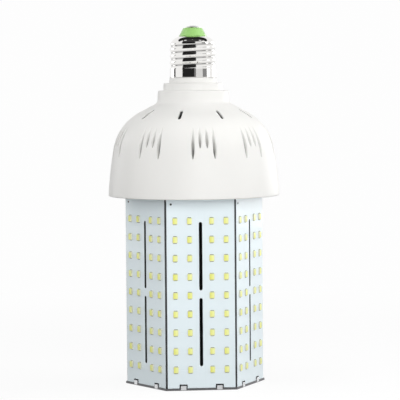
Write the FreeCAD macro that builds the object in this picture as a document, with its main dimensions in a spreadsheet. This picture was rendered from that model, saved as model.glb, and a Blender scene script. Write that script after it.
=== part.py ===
import FreeCAD, Part
import math
import os
import re

import Sketcher
from FreeCAD import Placement, Rotation, Vector

# A corn-type LED bulb, standing on its end plate with its screw cap up.
# The origin is the middle of the end plate's underside, +Z runs to the cap
# and the board called led_panel_1 faces -Y.

SIDES = 6
UP = Vector(0, 0, 1)

# Driving dimensions, in millimetres and degrees
SIZES = {
    # Light boards and their end plate
    "panel_width": 37.4,
    "panel_thickness": 1.2,
    "corner_gap": 0.2,
    "slot_width": 1.8,
    "slot_length": 37.5,
    "slot_foot": 12.1,
    "slot_gap": 4.3,
    "notch_offset": 10.0,
    "notch_width": 4.4,
    "notch_height": 2.1,
    "lug_gap": 0.65,
    "wire_hole_inset": 2.5,
    "wire_hole_drop": 5.0,
    "end_plate_thickness": 1.2,
    "end_plate_lip": 0.3,
    # LED packages
    "led_width": 2.8,
    "led_height": 3.5,
    "led_thickness": 0.7,
    "led_rows": 9,
    "led_pitch": 10.23,
    "led_foot": 10.2,
    "led_inner_column": 6.1,
    "led_outer_column": 14.05,
    # Dome and neck
    "rim_radius": 48.0,
    "rim_height": 105.5,
    "dome_wall": 2.2,
    "wall_curve": 217.0,
    "shoulder_inset": 3.0,
    "shoulder_rise": 26.5,
    "shoulder_curve": 28.35,
    "shoulder_lean": 10.0,
    "roof_lean": 62.4,
    "neck_radius": 20.1,
    "neck_rise": 6.81,
    "collar_radius": 16.65,
    "collar_rise": 4.2,
    "step_edge": 0.9,
    "neck_fillet": 2.2,
    "seat_lip": 0.2,
    "seat_rise": 3.0,
    # Vents of the dome
    "vent_groups": 9,
    "vent_phase": 1.4,
    "vent_step": 5.1,
    "vent_rise": 12.4,
    "vent_top_width": 0.8,
    "vent_width": 1.9,
    "vent_tip_width": 0.35,
    "vent_break": 0.5,
    "vent_taper": 4.3,
    "long_vent_drop": 4.4,
    "short_vent_start": 1.5,
    "vent_over": 0.7,
    "roof_slot_gap": 6.9,
    "roof_slot_length": 8.2,
    "roof_slot_width": 1.6,
    # Screw cap
    "shell_wall": 0.35,
    "skirt_height": 4.4,
    "crest_radius": 13.1,
    "thread_depth": 0.85,
    "thread_pitch": 3.63,
    "thread_turns": 4,
    "thread_start": 2.9,
    "thread_runout": 0.16,
    "crest_land": 0.9,
    "crest_flank": 0.9,
    "shell_shoulder": 3.4,
    "shell_mouth": 7.2,
    "plug_height": 9.5,
    "plug_wall": 2.85,
    "push_gap": 0.05,
    "insulator_lip": 0.55,
    "insulator_top_radius": 5.3,
    "insulator_height": 4.6,
    "insulator_plug": 1.8,
    "contact_radius": 4.2,
    "contact_height": 1.4,
    "contact_edge": 0.5,
    "stem_radius": 1.6,
    "stem_length": 8.5,
    # Carrier plate that closes the dome
    "carrier_recess": 2.0,
    "carrier_thickness": 2.5,
    "carrier_gap": 0.75,
    "air_hole_lip": 0.4,
    "skirt_drop": 3.5,
    "skirt_wall": 1.6,
    "panel_fit": 0.05,
    "boss_count": 3,
    "boss_radius": 3.6,
    "boss_bite": 0.8,
    "boss_length": 10.0,
    "screw_radius": 1.25,
    "screw_head_radius": 2.6,
    "screw_head_height": 1.7,
    "screw_clearance": 0.25,
    "thread_clearance": 0.05,
    "screw_end_gap": 1.0,
    # Fan
    "fan_width": 50.0,
    "fan_depth": 15.0,
    "fan_corner": 4.0,
    "fan_hole_inset": 5.0,
    "fan_rim": 1.6,
    "fan_strut_count": 3,
    "fan_strut_width": 2.6,
    "fan_plate": 2.0,
    "fan_notch": 2.4,
    "fan_notch_offset": 9.0,
    "hub_radius": 11.5,
    "hub_wall": 2.0,
    "hub_plate": 1.4,
    "hub_float": 0.6,
    "sleeve_radius": 3.2,
    "sleeve_drop": 1.0,
    "shaft_radius": 1.0,
    "shaft_clearance": 0.05,
    "stator_gap": 1.0,
    "stator_height": 6.0,
    "blade_count": 7,
    "blade_thickness": 1.1,
    "blade_tip_gap": 1.2,
    "blade_root": 1.3,
    "root_chord": 10.0,
    "root_pitch": 50.0,
    "tip_chord": 12.5,
    "tip_pitch": 36.0,
    # Driver board
    "spacer_flats": 5.0,
    "spacer_length": 9.0,
    "stud_radius": 1.5,
    "driver_overhang": 2.95,
    "driver_edge": 4.0,
    "driver_thickness": 1.6,
    "core_x": -14.0,
    "core_width": 18.0,
    "core_height": 13.5,
    "core_depth": 8.0,
    "core_leg": 3.0,
    "winding_depth": 14.0,
    "winding_gap": 0.2,
    "input_can_radius": 6.25,
    "input_can_height": 15.0,
    "input_can_x": 13.5,
    "input_can_y": 8.0,
    "output_can_radius": 5.0,
    "output_can_height": 14.0,
    "output_can_x": 13.5,
    "output_can_y": -9.0,
    "can_groove": 0.5,
    "can_groove_height": 2.2,
    "can_edge": 0.7,
    "rectifier_x": 26.5,
    "rectifier_length": 8.5,
    "rectifier_width": 6.4,
    "rectifier_height": 3.0,
    "choke_y": 16.5,
    "choke_radius": 5.0,
    "choke_waist": 3.9,
    "choke_flange": 1.2,
    "choke_height": 8.0,
    "film_y": -16.5,
    "film_length": 12.0,
    "film_width": 6.0,
    "film_height": 10.0,
    "film_edge": 0.8,
    # Leads
    "lead_radius": 0.8,
    "thin_lead_radius": 0.5,
    "lead_clearance": 0.1,
    "lead_bend": 4.0,
    "thin_lead_bend": 2.0,
    "neutral_reach": 6.0,
    "neutral_rise": 2.5,
    "line_offset": 3.5,
    "line_bend_drop": 20.0,
    "line_bend_length": 14.0,
    "led_lead_run": 3.4,
}

# Places that several pieces share, as formulas of the sizes above
PANEL_BACK = "((panel_width + corner_gap) / 2 / tan(30))"
PANEL_FRONT = f"({PANEL_BACK} + panel_thickness)"
CARRIER_Z = "(rim_height + carrier_recess)"
CARRIER_TOP = f"({CARRIER_Z} + carrier_thickness)"
FAN_TOP = f"({CARRIER_TOP} + fan_depth)"
DRIVER_Z = f"({FAN_TOP} + spacer_length)"
DRIVER_TOP = f"({DRIVER_Z} + driver_thickness)"
SHOULDER_R = "(rim_radius - shoulder_inset)"
SHOULDER_Z = "(rim_height + shoulder_rise)"
CURVE_R = f"({SHOULDER_R} - shoulder_curve * cos(shoulder_lean))"
CURVE_Z = f"({SHOULDER_Z} - shoulder_curve * sin(shoulder_lean))"
ROOF_R = f"({CURVE_R} + shoulder_curve * cos(roof_lean))"
ROOF_Z = f"({CURVE_Z} + shoulder_curve * sin(roof_lean))"
ROOF_FOOT = f"({ROOF_Z} + ({ROOF_R} - neck_radius) / tan(roof_lean))"
NECK_TOP = f"({ROOF_FOOT} + neck_rise)"
COLLAR_TOP = f"({NECK_TOP} + collar_rise)"
SHELL_FOOT = f"({COLLAR_TOP} + seat_rise)"
VENT_DEPTH = "(dome_wall + vent_break)"
VENT_TOP = f"({SHOULDER_Z} + vent_rise)"
LONG_VENT_FOOT = f"({SHOULDER_Z} - long_vent_drop)"
SHORT_VENT_FOOT = f"({SHOULDER_Z} + short_vent_start)"
BOSS_CIRCLE = f"({SHOULDER_R} + boss_bite - boss_radius)"
SCREW_HOLE = "(screw_radius + screw_clearance)"
PILOT = "(screw_radius + thread_clearance)"
STUD_HOLE = "(stud_radius + screw_clearance)"
VALLEY = "(crest_radius - thread_depth)"
FIRST_CREST = f"({SHELL_FOOT} + skirt_height + thread_start)"
THREAD_TOP = f"({FIRST_CREST} + (thread_turns - 1) * thread_pitch + crest_land / 2 + crest_flank)"
SHELL_TOP = f"({THREAD_TOP} + thread_runout + shell_shoulder)"
SHELL_BORE = f"({VALLEY} - shell_wall)"
PLUG = f"({SHELL_BORE} - push_gap)"
PLUG_TOP = f"({SHELL_FOOT} + plug_height)"
INSULATOR_TOP = f"({SHELL_TOP} + insulator_height)"
STEM_FOOT = f"({INSULATOR_TOP} - stem_length)"
WIRE_HOLE_X = "(panel_width / 2 - wire_hole_inset)"
WIRE_HOLE_Z = f"({CARRIER_Z} - wire_hole_drop)"
FAN_BORE = "(fan_width / 2 - fan_rim)"
FAN_HOLE = "(fan_width / 2 - fan_hole_inset)"
DRIVER_RADIUS = f"({PANEL_BACK} + driver_overhang)"
DRIVER_FLAT = f"({FAN_HOLE} + driver_edge)"

# Turns about the axis: a board's middle, a group of vents and the bosses
FRONT_TURN = "-90"
VENT_TURN = f"({FRONT_TURN} + vent_phase)"
BOSS_TURN = f"({FRONT_TURN} + 360 / boss_count)"

doc = FreeCAD.newDocument("corn_bulb")
sheet = doc.addObject("Spreadsheet::Sheet", "Sizes")
pieces = []


def fill_sheet():
    """Put every driving dimension into the sheet under its own name."""
    for row, (name, number) in enumerate(SIZES.items(), start=1):
        sheet.set(f"A{row}", name)
        sheet.set(f"B{row}", str(number))
        sheet.setAlias(f"B{row}", name)
    doc.recompute()


def tie(formula):
    """Point each size named in a formula at its cell in the sheet."""
    return re.sub(r"[a-z]\w*", lambda word: cell_or_word(word.group()), formula)


def cell_or_word(word):
    """The cell of a size, or the word itself, such as the name of a function."""
    return f"Sizes.{word}" if word in SIZES else word


def value(formula):
    """The number that a formula of the sheet's sizes gives."""
    return float(sheet.evalExpression(tie(formula)))


def whole(formula):
    """A count from the sheet."""
    return int(round(value(formula)))


def bind(item, prop, formula):
    """Tie one property of an object to a formula of the sheet's sizes."""
    item.setExpression(prop, tie(formula))


def new_body(label):
    """A body that becomes one named sub-part."""
    body = doc.addObject("PartDesign::Body", label)
    body.Label = label
    pieces.append(body)
    return body


def origin_part(body, role):
    """The plane or axis of a body's own origin with the given role."""
    return next(item for item in body.Origin.OriginFeatures if item.Role == role)


def new_sketch(body, role, lift="0", turn="0"):
    """A sketch on one of the body's origin planes, lifted along and turned about its normal."""
    sketch = body.newObject("Sketcher::SketchObject", f"{body.Name}_sketch")
    sketch.AttachmentSupport = [(origin_part(body, role), "")]
    sketch.MapMode = "FlatFace"
    sketch.AttachmentOffset = Placement(Vector(0, 0, value(lift)), Rotation(UP, value(turn)))
    bind(sketch, ".AttachmentOffset.Base.z", lift)
    bind(sketch, ".AttachmentOffset.Rotation.Angle", turn)
    return sketch


def limit(sketch, kind, formula, *where):
    """Add a constraint whose value is tied to the sheet."""
    index = sketch.addConstraint(Sketcher.Constraint(kind, *where, value(formula)))
    bind(sketch, f"Constraints[{index}]", formula)


def pin_point(sketch, geometry, point, place):
    """Hold a point of the sketch at the place that two formulas give."""
    limit(sketch, "DistanceX", place[0], -1, 1, geometry, point)
    limit(sketch, "DistanceY", place[1], -1, 1, geometry, point)


def arc_between(start, end, radius, side):
    """An arc from start to end with its centre on the named side of the way."""
    chord = end - start
    across = Vector(-chord.y, chord.x, 0).normalize()
    reach = (radius ** 2 - (chord.Length / 2) ** 2) ** 0.5
    sign = 1 if side == "left" else -1
    centre = (start + end) * 0.5 + across * (sign * reach)
    circle = Part.Circle(centre, UP, radius)
    first, last = (start, end) if side == "left" else (end, start)
    return Part.ArcOfCircle(circle, circle.parameter(first), circle.parameter(last))


def outline(sketch, corners):
    """A closed outline of pinned corners; (x, y, radius, side) starts an arc, (x, y) a line."""
    places = [Vector(value(corner[0]), value(corner[1]), 0) for corner in corners]
    edges = []
    for index, corner in enumerate(corners):
        start = places[index]
        end = places[(index + 1) % len(corners)]
        if len(corner) == 2:
            edges.append((sketch.addGeometry(Part.LineSegment(start, end)), 1, 2))
            continue
        arc = sketch.addGeometry(arc_between(start, end, value(corner[2]), corner[3]))
        edges.append((arc, 1, 2) if corner[3] == "left" else (arc, 2, 1))
    for index, (edge, begin, finish) in enumerate(edges):
        after, start_point, _ = edges[(index + 1) % len(edges)]
        sketch.addConstraint(Sketcher.Constraint("Coincident", edge, finish, after, start_point))
    for (edge, begin, finish), corner in zip(edges, corners):
        pin_point(sketch, edge, begin, corner)
        if len(corner) == 4:
            limit(sketch, "Radius", corner[2], edge)


def circle(sketch, x, y, radius):
    """A circle tied to the sheet by its middle and radius."""
    ring = sketch.addGeometry(Part.Circle(Vector(value(x), value(y), 0), UP, value(radius)))
    pin_point(sketch, ring, 3, (x, y))
    limit(sketch, "Radius", radius, ring)


def slot(sketch, first, last, radius):
    """A slot with round ends about two middles."""
    start = Vector(value(first[0]), value(first[1]), 0)
    end = Vector(value(last[0]), value(last[1]), 0)
    along = (end - start).normalize()
    across = Vector(-along.y, along.x, 0) * value(radius)
    back = Part.Circle(start, UP, value(radius))
    front = Part.Circle(end, UP, value(radius))
    shape = [
        Part.ArcOfCircle(back, back.parameter(start + across), back.parameter(start - across)),
        Part.LineSegment(start - across, end - across),
        Part.ArcOfCircle(front, front.parameter(end - across), front.parameter(end + across)),
        Part.LineSegment(end + across, start + across),
    ]
    ids = [sketch.addGeometry(edge) for edge in shape]
    for index, edge in enumerate(ids):
        after = ids[(index + 1) % len(ids)]
        sketch.addConstraint(Sketcher.Constraint("Tangent", edge, 2, after, 1))
    pin_point(sketch, ids[0], 3, first)
    pin_point(sketch, ids[2], 3, last)
    limit(sketch, "Radius", radius, ids[0])
    sketch.addConstraint(Sketcher.Constraint("Equal", ids[0], ids[2]))


def rectangle(x, y, width, depth):
    """The corners of a rectangle about a middle."""
    left, right = f"{x} - {width} / 2", f"{x} + {width} / 2"
    low, high = f"{y} - {depth} / 2", f"{y} + {depth} / 2"
    return [(left, low), (right, low), (right, high), (left, high)]


def hexagon(apothem, x="0", y="0"):
    """The corners of a hexagon with its flats at the given distance, one corner along X."""
    reach = f"{apothem} / cos(30)"
    turns = [360 / SIDES * side for side in range(SIDES)]
    return [(f"{x} + {reach} * cos({turn})", f"{y} + {reach} * sin({turn})") for turn in turns]


def pad(body, sketch, length, down=False):
    """Raise a sketch by a length, or sink it below its plane."""
    feature = body.newObject("PartDesign::Pad", f"{body.Name}_pad")
    feature.Profile = sketch
    bind(feature, "Length", length)
    feature.Reversed = down
    return feature


def cut_up(body, sketch, length):
    """Cut a sketch out of the body, from its plane along its normal."""
    feature = body.newObject("PartDesign::Pocket", f"{body.Name}_cut")
    feature.Profile = sketch
    feature.Reversed = True
    bind(feature, "Length", length)
    return feature


def revolve(body, sketch):
    """Turn a section in the XZ plane about the Z axis."""
    feature = body.newObject("PartDesign::Revolution", f"{body.Name}_turned")
    feature.Profile = sketch
    feature.ReferenceAxis = (sketch, ["V_Axis"])
    feature.Angle = 360
    return feature


def loft(body, kind, sketches):
    """A ruled loft through sketches, added to or taken from the body."""
    feature = body.newObject(f"PartDesign::{kind}", f"{body.Name}_loft")
    feature.Profile = sketches[0]
    feature.Sections = sketches[1:]
    feature.Ruled = True
    return feature


def spread(body, features, count):
    """Repeat features evenly about the Z axis."""
    pattern = body.newObject("PartDesign::PolarPattern", f"{body.Name}_spread")
    pattern.Originals = features
    pattern.Axis = (origin_part(body, "Z_Axis"), [""])
    pattern.Angle = 360
    bind(pattern, "Occurrences", count)
    body.Tip = pattern
    return pattern


def turned_body(label, section):
    """A sub-part that is one turned section of (radius, height) corners."""
    body = new_body(label)
    sketch = new_sketch(body, "XZ_Plane")
    outline(sketch, section)
    revolve(body, sketch)
    return body


def shaped_feature(label, shape, placement=None):
    """A sub-part whose shape is worked out here from the sheet's sizes."""
    feature = doc.addObject("Part::Feature", label)
    feature.Label = label
    feature.Shape = shape
    feature.Placement = placement or Placement()
    pieces.append(feature)
    return feature


def side_placement(side):
    """The turn from the front board to the board on another side."""
    return Placement(Vector(), Rotation(UP, 360 / SIDES * side))


def led_panel(side):
    """One light board with its air slots, lug notches and wire hole."""
    body = new_body(f"led_panel_{side + 1}")
    sketch = new_sketch(body, "XZ_Plane", lift=PANEL_BACK)
    foot = "end_plate_thickness"
    top = CARRIER_Z
    notch_top = f"({foot} + notch_height)"
    edges = [f"{sign} notch_offset {step} notch_width / 2" for sign in "-+" for step in "-+"]
    lower = [("-panel_width / 2", foot)]
    for index, edge in enumerate(edges):
        pair = [(edge, foot), (edge, notch_top)]
        lower += pair if index % 2 == 0 else pair[::-1]
    outline(sketch, lower + [("panel_width / 2", foot), ("panel_width / 2", top), ("-panel_width / 2", top)])
    radius = "slot_width / 2"
    for step in (0, 1):
        start = f"{foot} + slot_foot + {step} * (slot_length + slot_gap)"
        slot(sketch, ("0", f"{start} + {radius}"), ("0", f"{start} + slot_length - {radius}"), radius)
    circle(sketch, f"-{WIRE_HOLE_X}", WIRE_HOLE_Z, "thin_lead_radius + lead_clearance")
    pad(body, sketch, "panel_thickness")
    body.Placement = side_placement(side)


def led_packages(side):
    """The LED packages of one board, in rows on either side of its slots."""
    wide, tall, thick = value("led_width"), value("led_height"), value("led_thickness")
    front = -value(PANEL_FRONT)
    columns = [sign * value(f"led_{name}_column") for name in ("inner", "outer") for sign in (-1, 1)]
    boxes = []
    for row in range(whole("led_rows")):
        middle = value(f"end_plate_thickness + led_foot + {row} * led_pitch")
        for column in columns:
            corner = Vector(column - wide / 2, front - thick, middle - tall / 2)
            boxes.append(Part.makeBox(wide, thick, tall, corner))
    shaped_feature(f"led_packages_{side + 1}", Part.makeCompound(boxes), side_placement(side))


def end_plate():
    """The hexagonal end plate, with two upright lugs in the notches of each board."""
    body = new_body("end_plate")
    sheet_sketch = new_sketch(body, "XY_Plane")
    outline(sheet_sketch, hexagon(f"({PANEL_FRONT} + end_plate_lip)"))
    pad(body, sheet_sketch, "end_plate_thickness")
    lug_sketch = new_sketch(body, "XY_Plane", lift="end_plate_thickness")
    depth = "(panel_thickness + end_plate_lip)"
    middle = f"(-{PANEL_BACK} - {depth} / 2)"
    width = "(notch_width - 2 * lug_gap)"
    for sign in "-+":
        outline(lug_sketch, rectangle(f"{sign} notch_offset", middle, width, depth))
    lugs = pad(body, lug_sketch, "notch_height - lug_gap")
    spread(body, [lugs], str(SIDES))


def dome_section():
    """Half section of the dome wall and its stepped neck."""
    inner_curve = "(shoulder_curve - dome_wall)"
    roof_in_r = f"({CURVE_R} + {inner_curve} * cos(roof_lean))"
    roof_in_z = f"({CURVE_Z} + {inner_curve} * sin(roof_lean))"
    shoulder_in_r = f"{CURVE_R} + {inner_curve} * cos(shoulder_lean)"
    shoulder_in_z = f"{CURVE_Z} + {inner_curve} * sin(shoulder_lean)"
    neck_in = "(neck_radius - dome_wall)"
    collar_in = "collar_radius - dome_wall"
    neck_roof = f"{NECK_TOP} - dome_wall"
    collar_roof = f"{COLLAR_TOP} - dome_wall"
    seat = "crest_radius + seat_lip"
    plug_bore = f"{PLUG} - plug_wall"
    reach = "neck_fillet * tan(roof_lean / 2)"
    return [
        ("rim_radius", "rim_height", "wall_curve", "left"),
        (SHOULDER_R, SHOULDER_Z, "shoulder_curve", "left"),
        (ROOF_R, ROOF_Z),
        (f"neck_radius + {reach} * sin(roof_lean)", f"{ROOF_FOOT} - {reach} * cos(roof_lean)",
         "neck_fillet", "right"),
        ("neck_radius", f"{ROOF_FOOT} + {reach}"),
        ("neck_radius", f"{NECK_TOP} - step_edge", "step_edge", "left"),
        ("neck_radius - step_edge", NECK_TOP),
        ("collar_radius", NECK_TOP),
        ("collar_radius", f"{COLLAR_TOP} - step_edge", "step_edge", "left"),
        ("collar_radius - step_edge", COLLAR_TOP),
        (seat, COLLAR_TOP),
        (seat, SHELL_FOOT),
        (PLUG, SHELL_FOOT),
        (PLUG, PLUG_TOP),
        (plug_bore, PLUG_TOP),
        (plug_bore, collar_roof),
        (collar_in, collar_roof),
        (collar_in, neck_roof),
        (neck_in, neck_roof),
        (neck_in, f"{roof_in_z} + ({roof_in_r} - {neck_in}) / tan(roof_lean)"),
        (roof_in_r, roof_in_z, inner_curve, "right"),
        (shoulder_in_r, shoulder_in_z, "wall_curve - dome_wall", "right"),
        ("rim_radius - dome_wall", "rim_height"),
    ]


def vent_section(body, turn, height, width):
    """A V-shaped section of a vent, as deep as its width asks, with its mouth outside the dome's skin."""
    sketch = new_sketch(body, "XY_Plane", lift=height, turn=turn)
    skin = f"({CURVE_R} + sqrt(shoulder_curve ^ 2 - ({height} - {CURVE_Z}) ^ 2))"
    floor = f"{skin} - {width} * {VENT_DEPTH} / vent_width"
    mouth = f"{skin} + vent_over"
    half = f"({width} + vent_over * vent_width / {VENT_DEPTH}) / 2"
    outline(sketch, [(floor, "0"), (mouth, f"-({half})"), (mouth, half)])
    return sketch


def vent(body, step, foot):
    """One spear-shaped vent: narrow above, widest and deepest near its pointed foot."""
    turn = f"{VENT_TURN} + {step} * vent_step"
    widest = f"({foot} + vent_taper)"
    middle = f"(({VENT_TOP} + {widest}) / 2)"
    sections = [
        vent_section(body, turn, VENT_TOP, "vent_top_width"),
        vent_section(body, turn, middle, "(vent_top_width + vent_width) / 2"),
        vent_section(body, turn, widest, "vent_width"),
        vent_section(body, turn, foot, "vent_tip_width"),
    ]
    return loft(body, "SubtractiveLoft", sections)


def dome_housing():
    """The moulded dome: turned wall, screw bosses inside, fork vents and roof slots."""
    body = turned_body("dome_housing", dome_section())
    boss_sketch = new_sketch(body, "XY_Plane", lift=CARRIER_TOP, turn=BOSS_TURN)
    circle(boss_sketch, BOSS_CIRCLE, "0", "boss_radius")
    circle(boss_sketch, BOSS_CIRCLE, "0", PILOT)
    boss = pad(body, boss_sketch, "boss_length")
    spread(body, [boss], "boss_count")
    feet = {-1.5: LONG_VENT_FOOT, -0.5: SHORT_VENT_FOOT, 0.5: SHORT_VENT_FOOT, 1.5: LONG_VENT_FOOT}
    vents = [vent(body, step, foot) for step, foot in feet.items()]
    spread(body, vents, "vent_groups")
    slot_sketch = new_sketch(body, "XY_Plane", turn=f"{VENT_TURN} + 180 / vent_groups")
    radius = "roof_slot_width / 2"
    start = "neck_radius + roof_slot_gap"
    slot(slot_sketch, (f"{start} + {radius}", "0"), (f"{start} + roof_slot_length - {radius}", "0"), radius)
    roof_slot = cut_up(body, slot_sketch, SHELL_FOOT)
    spread(body, [roof_slot], "vent_groups")


def screw_shell():
    """The cap's thin screw shell: plain skirt, rounded thread and a shoulder with a mouth."""
    section = [
        (SHELL_BORE, SHELL_FOOT),
        ("crest_radius", SHELL_FOOT),
        ("crest_radius", f"{SHELL_FOOT} + skirt_height"),
        (VALLEY, f"{SHELL_FOOT} + skirt_height + crest_flank"),
    ]
    for turn in range(whole("thread_turns")):
        middle = f"{FIRST_CREST} + {turn} * thread_pitch"
        section += [
            (VALLEY, f"{middle} - crest_land / 2 - crest_flank"),
            ("crest_radius", f"{middle} - crest_land / 2"),
            ("crest_radius", f"{middle} + crest_land / 2"),
            (VALLEY, f"{middle} + crest_land / 2 + crest_flank"),
        ]
    section += [
        (VALLEY, f"{SHELL_TOP} - shell_shoulder", "shell_shoulder", "left"),
        (f"{VALLEY} - shell_shoulder", SHELL_TOP),
        ("shell_mouth", SHELL_TOP),
        ("shell_mouth", f"{SHELL_TOP} - shell_wall"),
        (f"{VALLEY} - shell_shoulder", f"{SHELL_TOP} - shell_wall", "shell_shoulder - shell_wall", "right"),
        (SHELL_BORE, f"{SHELL_TOP} - shell_shoulder"),
    ]
    turned_body("screw_shell", section)


def cap_insulator():
    """The insulating cone that plugs the shell's mouth and carries the contact."""
    hole = "stem_radius + push_gap"
    plug = "shell_mouth - push_gap"
    foot = f"{SHELL_TOP} - insulator_plug"
    turned_body("cap_insulator", [
        (hole, foot),
        (plug, foot),
        (plug, SHELL_TOP),
        ("shell_mouth + insulator_lip", SHELL_TOP),
        ("insulator_top_radius", INSULATOR_TOP),
        (hole, INSULATOR_TOP),
    ])


def centre_contact():
    """The contact button on its rivet stem."""
    top = f"{INSULATOR_TOP} + contact_height"
    turned_body("centre_contact", [
        ("0", STEM_FOOT),
        ("stem_radius", STEM_FOOT),
        ("stem_radius", INSULATOR_TOP),
        ("contact_radius", INSULATOR_TOP),
        ("contact_radius", f"{INSULATOR_TOP} + contact_edge"),
        ("contact_radius / 2", top),
        ("0", top),
    ])


def carrier_plate():
    """The plate that closes the dome, with a six-sided skirt inside the boards' upper ends."""
    body = new_body("carrier_plate")
    plate = new_sketch(body, "XY_Plane", lift=CARRIER_Z)
    circle(plate, "0", "0", "rim_radius - dome_wall - carrier_gap")
    circle(plate, "0", "0", f"{FAN_BORE} - air_hole_lip")
    for turn in range(whole("boss_count")):
        angle = f"({BOSS_TURN} + {turn} * 360 / boss_count)"
        circle(plate, f"{BOSS_CIRCLE} * cos({angle})", f"{BOSS_CIRCLE} * sin({angle})", SCREW_HOLE)
    for along in "-+":
        for across in "-+":
            circle(plate, f"{along}{FAN_HOLE}", f"{across}{FAN_HOLE}", "stud_radius + thread_clearance")
    for sign in (1, -1):
        x, y = lead_drop(sign)
        circle(plate, x, y, "thin_lead_radius + screw_clearance")
    pad(body, plate, "carrier_thickness")
    skirt = new_sketch(body, "XY_Plane", lift=CARRIER_Z)
    outline(skirt, hexagon(f"({PANEL_BACK} - panel_fit)"))
    outline(skirt, hexagon(f"({PANEL_BACK} - panel_fit - skirt_wall)"))
    pad(body, skirt, "skirt_drop", down=True)


def screws(label, turn, reach, seat, head_down, shank, count):
    """A group of pan-head screws about the axis, each a head and a plain shank."""
    body = new_body(label)
    head_sketch = new_sketch(body, "XY_Plane", lift=seat, turn=turn)
    circle(head_sketch, reach, "0", "screw_head_radius")
    head = pad(body, head_sketch, "screw_head_height", down=head_down)
    shank_sketch = new_sketch(body, "XY_Plane", lift=seat, turn=turn)
    circle(shank_sketch, reach, "0", "screw_radius")
    stem = pad(body, shank_sketch, shank, down=not head_down)
    spread(body, [head, stem], count)


def fan_frame():
    """The square fan frame with its bore, corner holes, struts, hub plate and bearing sleeve."""
    body = new_body("fan_frame")
    half = "fan_width / 2"
    inner = "(fan_width / 2 - fan_corner)"
    frame = new_sketch(body, "XY_Plane", lift=CARRIER_TOP)
    outline(frame, [
        (f"-{inner}", f"-{half}"),
        (inner, f"-{half}", "fan_corner", "left"),
        (half, f"-{inner}"),
        (half, inner, "fan_corner", "left"),
        (inner, half),
        (f"-{inner}", half, "fan_corner", "left"),
        (f"-{half}", inner),
        (f"-{half}", f"-{inner}", "fan_corner", "left"),
    ])
    circle(frame, "0", "0", FAN_BORE)
    for along in "-+":
        for across in "-+":
            circle(frame, f"{along}{FAN_HOLE}", f"{across}{FAN_HOLE}", STUD_HOLE)
    pad(body, frame, "fan_depth")
    strut_sketch = new_sketch(body, "XY_Plane", lift=CARRIER_TOP, turn=FRONT_TURN)
    start, end = "(hub_radius - fan_strut_width)", f"({FAN_BORE} + fan_rim / 2)"
    outline(strut_sketch, rectangle(f"({start} + {end}) / 2", "0", f"({end} - {start})", "fan_strut_width"))
    strut = pad(body, strut_sketch, "fan_plate")
    spread(body, [strut], "fan_strut_count")
    hub_sketch = new_sketch(body, "XY_Plane", lift=CARRIER_TOP)
    circle(hub_sketch, "0", "0", "hub_radius")
    pad(body, hub_sketch, "fan_plate")
    sleeve_sketch = new_sketch(body, "XY_Plane", lift=f"{CARRIER_TOP} + fan_plate")
    circle(sleeve_sketch, "0", "0", "sleeve_radius")
    circle(sleeve_sketch, "0", "0", "shaft_radius + shaft_clearance")
    pad(body, sleeve_sketch, "fan_depth - fan_plate - hub_float - hub_plate - sleeve_drop")
    notch_sketch = new_sketch(body, "XY_Plane", lift=CARRIER_TOP)
    outline(notch_sketch, rectangle(half, "fan_notch_offset", "fan_width / 2", "fan_notch"))
    cut_up(body, notch_sketch, "fan_notch")


def fan_stator():
    """The ring of the fan's motor, seated on the hub plate round the bearing sleeve."""
    body = new_body("fan_stator")
    sketch = new_sketch(body, "XY_Plane", lift=f"{CARRIER_TOP} + fan_plate")
    circle(sketch, "0", "0", "hub_radius - hub_wall - stator_gap")
    circle(sketch, "0", "0", "sleeve_radius + push_gap")
    pad(body, sketch, "stator_height")


def blade_section(body, reach, chord, pitch):
    """A thin tilted section of a blade at one distance from the axis."""
    low = f"({CARRIER_TOP} + fan_plate + hub_float)"
    high = f"({FAN_TOP} - hub_float)"
    sketch = new_sketch(body, "YZ_Plane", lift=reach)
    corners = []
    for along, across in ((-1, -1), (1, -1), (1, 1), (-1, 1)):
        x = f"({along} * {chord} * cos({pitch}) - {across} * blade_thickness * sin({pitch})) / 2"
        y = f"({along} * {chord} * sin({pitch}) + {across} * blade_thickness * cos({pitch})) / 2"
        corners.append((x, f"({low} + {high}) / 2 + {y}"))
    outline(sketch, corners)
    return sketch


def fan_rotor():
    """The turning part of the fan: hub cup, shaft and twisted blades."""
    top = f"({FAN_TOP} - hub_float)"
    foot = f"({CARRIER_TOP} + fan_plate + hub_float)"
    ceiling = f"({top} - hub_plate)"
    cup = "(hub_radius - hub_wall)"
    body = turned_body("fan_rotor", [
        ("0", foot),
        ("shaft_radius", foot),
        ("shaft_radius", ceiling),
        (cup, ceiling),
        (cup, foot),
        ("hub_radius", foot),
        ("hub_radius", f"{top} - hub_float"),
        ("hub_radius - hub_float", top),
        ("0", top),
    ])
    root = blade_section(body, "(hub_radius - blade_root)", "root_chord", "root_pitch")
    tip = blade_section(body, f"({FAN_BORE} - 2 * blade_tip_gap)", "tip_chord", "tip_pitch")
    blade = loft(body, "AdditiveLoft", [root, tip])
    spread(body, [blade], "blade_count")


def board_spacers():
    """Four hexagonal spacers with studs that hold the fan down and carry the driver board."""
    body = new_body("board_spacers")
    place = (FAN_HOLE, FAN_HOLE)
    column = new_sketch(body, "XY_Plane", lift=FAN_TOP)
    outline(column, hexagon("(spacer_flats / 2)", *place))
    circle(column, *place, PILOT)
    stem_sketch = new_sketch(body, "XY_Plane", lift=FAN_TOP)
    circle(stem_sketch, *place, "stud_radius")
    parts = [
        pad(body, column, "spacer_length"),
        pad(body, stem_sketch, "fan_depth + carrier_thickness - screw_end_gap / 2", down=True),
    ]
    spread(body, parts, "4")


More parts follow.
